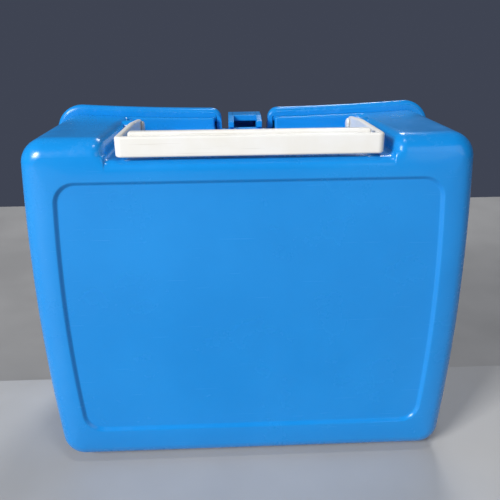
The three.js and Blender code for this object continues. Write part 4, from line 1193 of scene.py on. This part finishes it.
class Finish:
    """A node material being built: nodes are added by kind, and joined by name."""

    def __init__(self, name):
        """An empty material, with its shader and its object coordinates."""
        self.material = bpy.data.materials.new(name)
        self.material.use_nodes = True
        self.tree = self.material.node_tree
        self.shader = self.tree.nodes["Principled BSDF"]
        self.place = self.add("ShaderNodeTexCoord").outputs["Object"]

    def add(self, kind, **settings):
        """Adds a node of a kind, with settings given by name."""
        node = self.tree.nodes.new(kind)
        for key, value in settings.items():
            setattr(node, key, value)
        return node

    def put(self, node, **inputs):
        """Sets a node's inputs: a socket is linked and a value is stored."""
        for key, value in inputs.items():
            socket = node.inputs[int(key[1:])] if key[0] == "_" else node.inputs[key.replace("_", " ")]
            if isinstance(value, bpy.types.NodeSocket):
                self.tree.links.new(value, socket)
            else:
                socket.default_value = value
        return node

    def stretched(self, scale, turn=(0, 0, 0)):
        """Object coordinates, scaled by so many features a metre each way."""
        node = self.put(self.add("ShaderNodeMapping"), Vector=self.place, Scale=scale, Rotation=turn)
        return node.outputs["Vector"]

    def noise(self, scale, detail=3.0, rough=0.5, vector=None):
        """Cloudy noise from 0 to 1."""
        node = self.add("ShaderNodeTexNoise")
        self.put(node, Vector=vector or self.place, Scale=scale, Detail=detail, Roughness=rough)
        return node.outputs["Fac"]

    def ramp(self, value, low, high, out_low=0.0, out_high=1.0):
        """Maps a range of values to another, smoothly and held at its ends."""
        node = self.add("ShaderNodeMapRange", interpolation_type="SMOOTHSTEP")
        self.put(node, Value=value, From_Min=low, From_Max=high, To_Min=out_low, To_Max=out_high)
        return node.outputs["Result"]

    def math(self, operation, a, b=0.0):
        """Arithmetic on one or two values."""
        node = self.add("ShaderNodeMath", operation=operation)
        self.put(node, _0=a, _1=b)
        return node.outputs[0]

    def blend(self, share, a, b):
        """One colour turning into another."""
        node = self.add("ShaderNodeMix", data_type="RGBA")
        self.put(node, _0=share, _6=a, _7=b)
        return node.outputs[2]

    def bumps(self, *layers):
        """Bump nodes in a row: each layer is (height, distance in millimetres, strength)."""
        normal = None
        for height, distance, strength in layers:
            node = self.add("ShaderNodeBump")
            self.put(node, Height=height, Distance=distance * MM, Strength=strength)
            if normal:
                self.put(node, Normal=normal)
            normal = node.outputs["Normal"]
        self.put(self.shader, Normal=normal)

    def scratches(self, turn, along, across, low, high):
        """Sparse hairlines: noise drawn out long one way, with only its peaks kept."""
        drawn = self.noise(1.0, 2.0, 0.5, self.stretched((along, across, across), turn))
        return self.ramp(drawn, low, high)


def blue_plastic():
    """Glossy moulded polypropylene: a faint orange peel and long soft waves, hairline scratches that
    catch the light, hand-worn patches that are a little duller, and paler, rubbed edges."""
    f = Finish("blue gloss plastic")
    cloud = f.noise(14.0, 4.0, 0.55)
    patch = f.noise(48.0, 5.0, 0.6)
    peel = f.noise(1100.0, 2.0, 0.5)
    wave = f.noise(55.0, 1.0, 0.4)
    hair = f.scratches((0.2, 0.35, 0.5), 26.0, 1500.0, 0.72, 0.78)
    cross = f.scratches((0.9, -0.7, 1.3), 30.0, 1300.0, 0.71, 0.77)
    scratch = f.math("MAXIMUM", hair, cross)
    worn = f.add("ShaderNodeAttribute", attribute_name="edge_wear").outputs["Fac"]
    rubbed = f.math("MULTIPLY", worn, f.ramp(f.noise(240.0, 5.0, 0.65), 0.45, 0.72))
    base = f.blend(f.ramp(cloud, 0.3, 0.7), BLUE_DEEP, BLUE_LIGHT)
    base = f.blend(f.math("MULTIPLY", scratch, 0.08), base, BLUE_PALE)
    base = f.blend(f.math("MULTIPLY", rubbed, 0.05), base, BLUE_PALE)
    rough = f.ramp(patch, 0.3, 0.75, 0.19, 0.30)
    rough = f.math("ADD", rough, f.math("MULTIPLY", scratch, 0.12))
    rough = f.math("ADD", rough, f.math("MULTIPLY", rubbed, 0.15))
    f.put(f.shader, Base_Color=base, Roughness=rough, IOR=1.49)
    f.bumps((wave, 0.4, 0.5), (peel, 0.015, 0.3), (scratch, 0.02, 0.12))
    return f.material


def white_plastic():
    """Satin moulded plastic, a little yellowed in places, with faint flow lines along its length, fine
    scratches and grey rubbed dirt round the pins."""
    f = Finish("white satin plastic")
    cloud = f.noise(30.0, 4.0, 0.6)
    flow = f.noise(1.0, 3.0, 0.5, f.stretched((12.0, 260.0, 260.0)))
    grain = f.noise(1600.0, 2.0, 0.5)
    scratch = f.scratches((0.1, 0.25, 0.4), 20.0, 1500.0, 0.66, 0.72)
    split = f.add("ShaderNodeSeparateXYZ")
    f.put(split, Vector=f.place)
    off_y = f.math("SUBTRACT", split.outputs["Y"], HANDLE_PIVOT_Y * MM)
    off_z = f.math("SUBTRACT", split.outputs["Z"], HANDLE_PIVOT_Z * MM)
    square = f.math("ADD", f.math("MULTIPLY", off_y, off_y), f.math("MULTIPLY", off_z, off_z))
    near = f.ramp(f.math("SQRT", square), 0.003, 0.009, 1.0, 0.0)
    dirt = f.math("MULTIPLY", near, f.ramp(f.noise(420.0, 5.0, 0.7), 0.42, 0.68))
    base = f.blend(f.ramp(cloud, 0.35, 0.7), WHITE_CLEAN, WHITE_AGED)
    base = f.blend(f.math("MULTIPLY", f.ramp(flow, 0.45, 0.75), 0.18), base, WHITE_AGED)
    base = f.blend(f.math("MULTIPLY", scratch, 0.2), base, WHITE_DIRT)
    base = f.blend(f.math("MULTIPLY", dirt, 0.6), base, WHITE_DIRT)
    rough = f.math("ADD", f.ramp(cloud, 0.3, 0.7, 0.30, 0.42), f.math("MULTIPLY", dirt, 0.2))
    f.put(f.shader, Base_Color=base, Roughness=rough, IOR=1.49)
    f.bumps((flow, 0.06, 0.25), (grain, 0.012, 0.3), (scratch, 0.02, 0.3))
    return f.material


def steel_wire():
    """Drawn steel: fine lines along the wire, dull oxide spots and slightly uneven brightness."""
    f = Finish("drawn steel")
    lines = f.noise(1.0, 3.0, 0.6, f.stretched((120.0, 2600.0, 2600.0)))
    spots = f.ramp(f.noise(700.0, 5.0, 0.65), 0.56, 0.7)
    base = f.blend(f.ramp(lines, 0.3, 0.7), STEEL_DARK, STEEL_LIGHT)
    base = f.blend(f.math("MULTIPLY", spots, 0.5), base, STEEL_OXIDE)
    rough = f.math("ADD", f.ramp(lines, 0.3, 0.7, 0.24, 0.36), f.math("MULTIPLY", spots, 0.25))
    f.put(f.shader, Base_Color=base, Roughness=rough, Metallic=1.0)
    f.bumps((lines, 0.01, 0.4), (spots, 0.01, 0.3))
    return f.material


finishes = {"blue_plastic": blue_plastic(), "white_plastic": white_plastic(), "steel": steel_wire()}
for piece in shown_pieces():
    if "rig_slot" in piece:
        piece.data.materials.clear()
        piece.data.materials.append(finishes[piece["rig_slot"]])
        even = piece.modifiers.new("even shading", "WEIGHTED_NORMAL")
        even.weight = 100
        even.keep_sharp = True


# ---------- stand ----------
def stand():
    """A wide pale table and, behind it, a lower level that leaves room for the opened cover: one
    profile in Y and Z carried along X, with a rounded step."""
    edge = JOINT - 2.2
    drop = 62.0
    turn = quarter(8)
    round_edge = 1.5
    y = stations(-1500, edge - 20, edge - round_edge + round_edge * np.sin(turn), edge, edge + 4, 700)
    z = stations(0, 0, -round_edge * (1 - np.cos(turn)), -drop + 4, -drop, -drop)
    x = column([-1800.0, 1800.0])
    grid = np.stack([x + 0 * y, y + 0 * x, z + 0 * x], -1)
    count = len(y)
    first = np.arange(count - 1)
    faces = np.stack([first, first + count, first + count + 1, first + 1], -1)
    mesh = bpy.data.meshes.new("stand")
    mesh.from_pydata(grid.reshape(-1, 3) * MM, [], faces.tolist())
    mesh.shade_smooth()
    made = bpy.data.objects.new("stand", mesh)
    bpy.context.scene.collection.objects.link(made)
    f = Finish("pale table")
    grain = f.noise(9.0, 4.0, 0.55)
    base = f.blend(f.ramp(grain, 0.3, 0.7), (0.44, 0.437, 0.43, 1), (0.49, 0.487, 0.48, 1))
    f.put(f.shader, Base_Color=base, Roughness=f.ramp(grain, 0.3, 0.7, 0.5, 0.62))
    f.bumps((f.noise(600.0, 3.0, 0.6), 0.04, 0.3))
    made.data.materials.append(f.material)


stand()


# ---------- camera ----------
CAMERA_PLACE = (-0.0104, -0.3176, 0.2354)
CAMERA_RIGHT = (0.99915713, -0.03998884, -0.00926904)
CAMERA_UP = (0.02311651, 0.36154178, 0.93206929)
CAMERA_AHEAD = (0.03392123, 0.93149795, -0.36216146)
camera = bpy.data.objects.new("camera", bpy.data.cameras.new("camera"))
camera.data.lens = 40.0
camera.data.sensor_width = 36
turned = Matrix([CAMERA_RIGHT, CAMERA_UP, [-v for v in CAMERA_AHEAD]]).transposed().to_4x4()
camera.matrix_world = Matrix.Translation(Vector(CAMERA_PLACE)) @ turned
bpy.context.scene.collection.objects.link(camera)
bpy.context.scene.camera = camera


# ---------- light ----------
def area_light(name, place, aim, size, watts, colour=(1, 1, 1)):
    """A square lamp at a place, turned to face the point that it lights."""
    lamp = bpy.data.lights.new(name, "AREA")
    lamp.shape = "SQUARE"
    lamp.size = size
    lamp.energy = watts
    lamp.color = colour
    made = bpy.data.objects.new(name, lamp)
    made.location = place
    made.rotation_euler = (Vector(aim) - Vector(place)).to_track_quat("-Z", "Y").to_euler()
    bpy.context.scene.collection.objects.link(made)


area_light("key", (-1.15, -1.15, 0.92), (0, 0, 0.1), 0.5, 35)
area_light("fill", (0.9, -1.2, 0.6), (0, 0, 0.1), 1.0, 3.6)
area_light("ceiling", (0.05, -0.3, 1.3), (0, 0, 0.1), 0.12, 1.8)
area_light("front soft", (0.3, 1.1, 1.3), (0, 0, 0.1), 0.4, 9)

world = bpy.data.worlds.new("studio")
world.use_nodes = True
world.node_tree.nodes["Background"].inputs["Color"].default_value = (0.05, 0.058, 0.085, 1)
world.node_tree.nodes["Background"].inputs["Strength"].default_value = 1.0
bpy.context.scene.world = world
bpy.context.scene.view_settings.view_transform = "Standard"
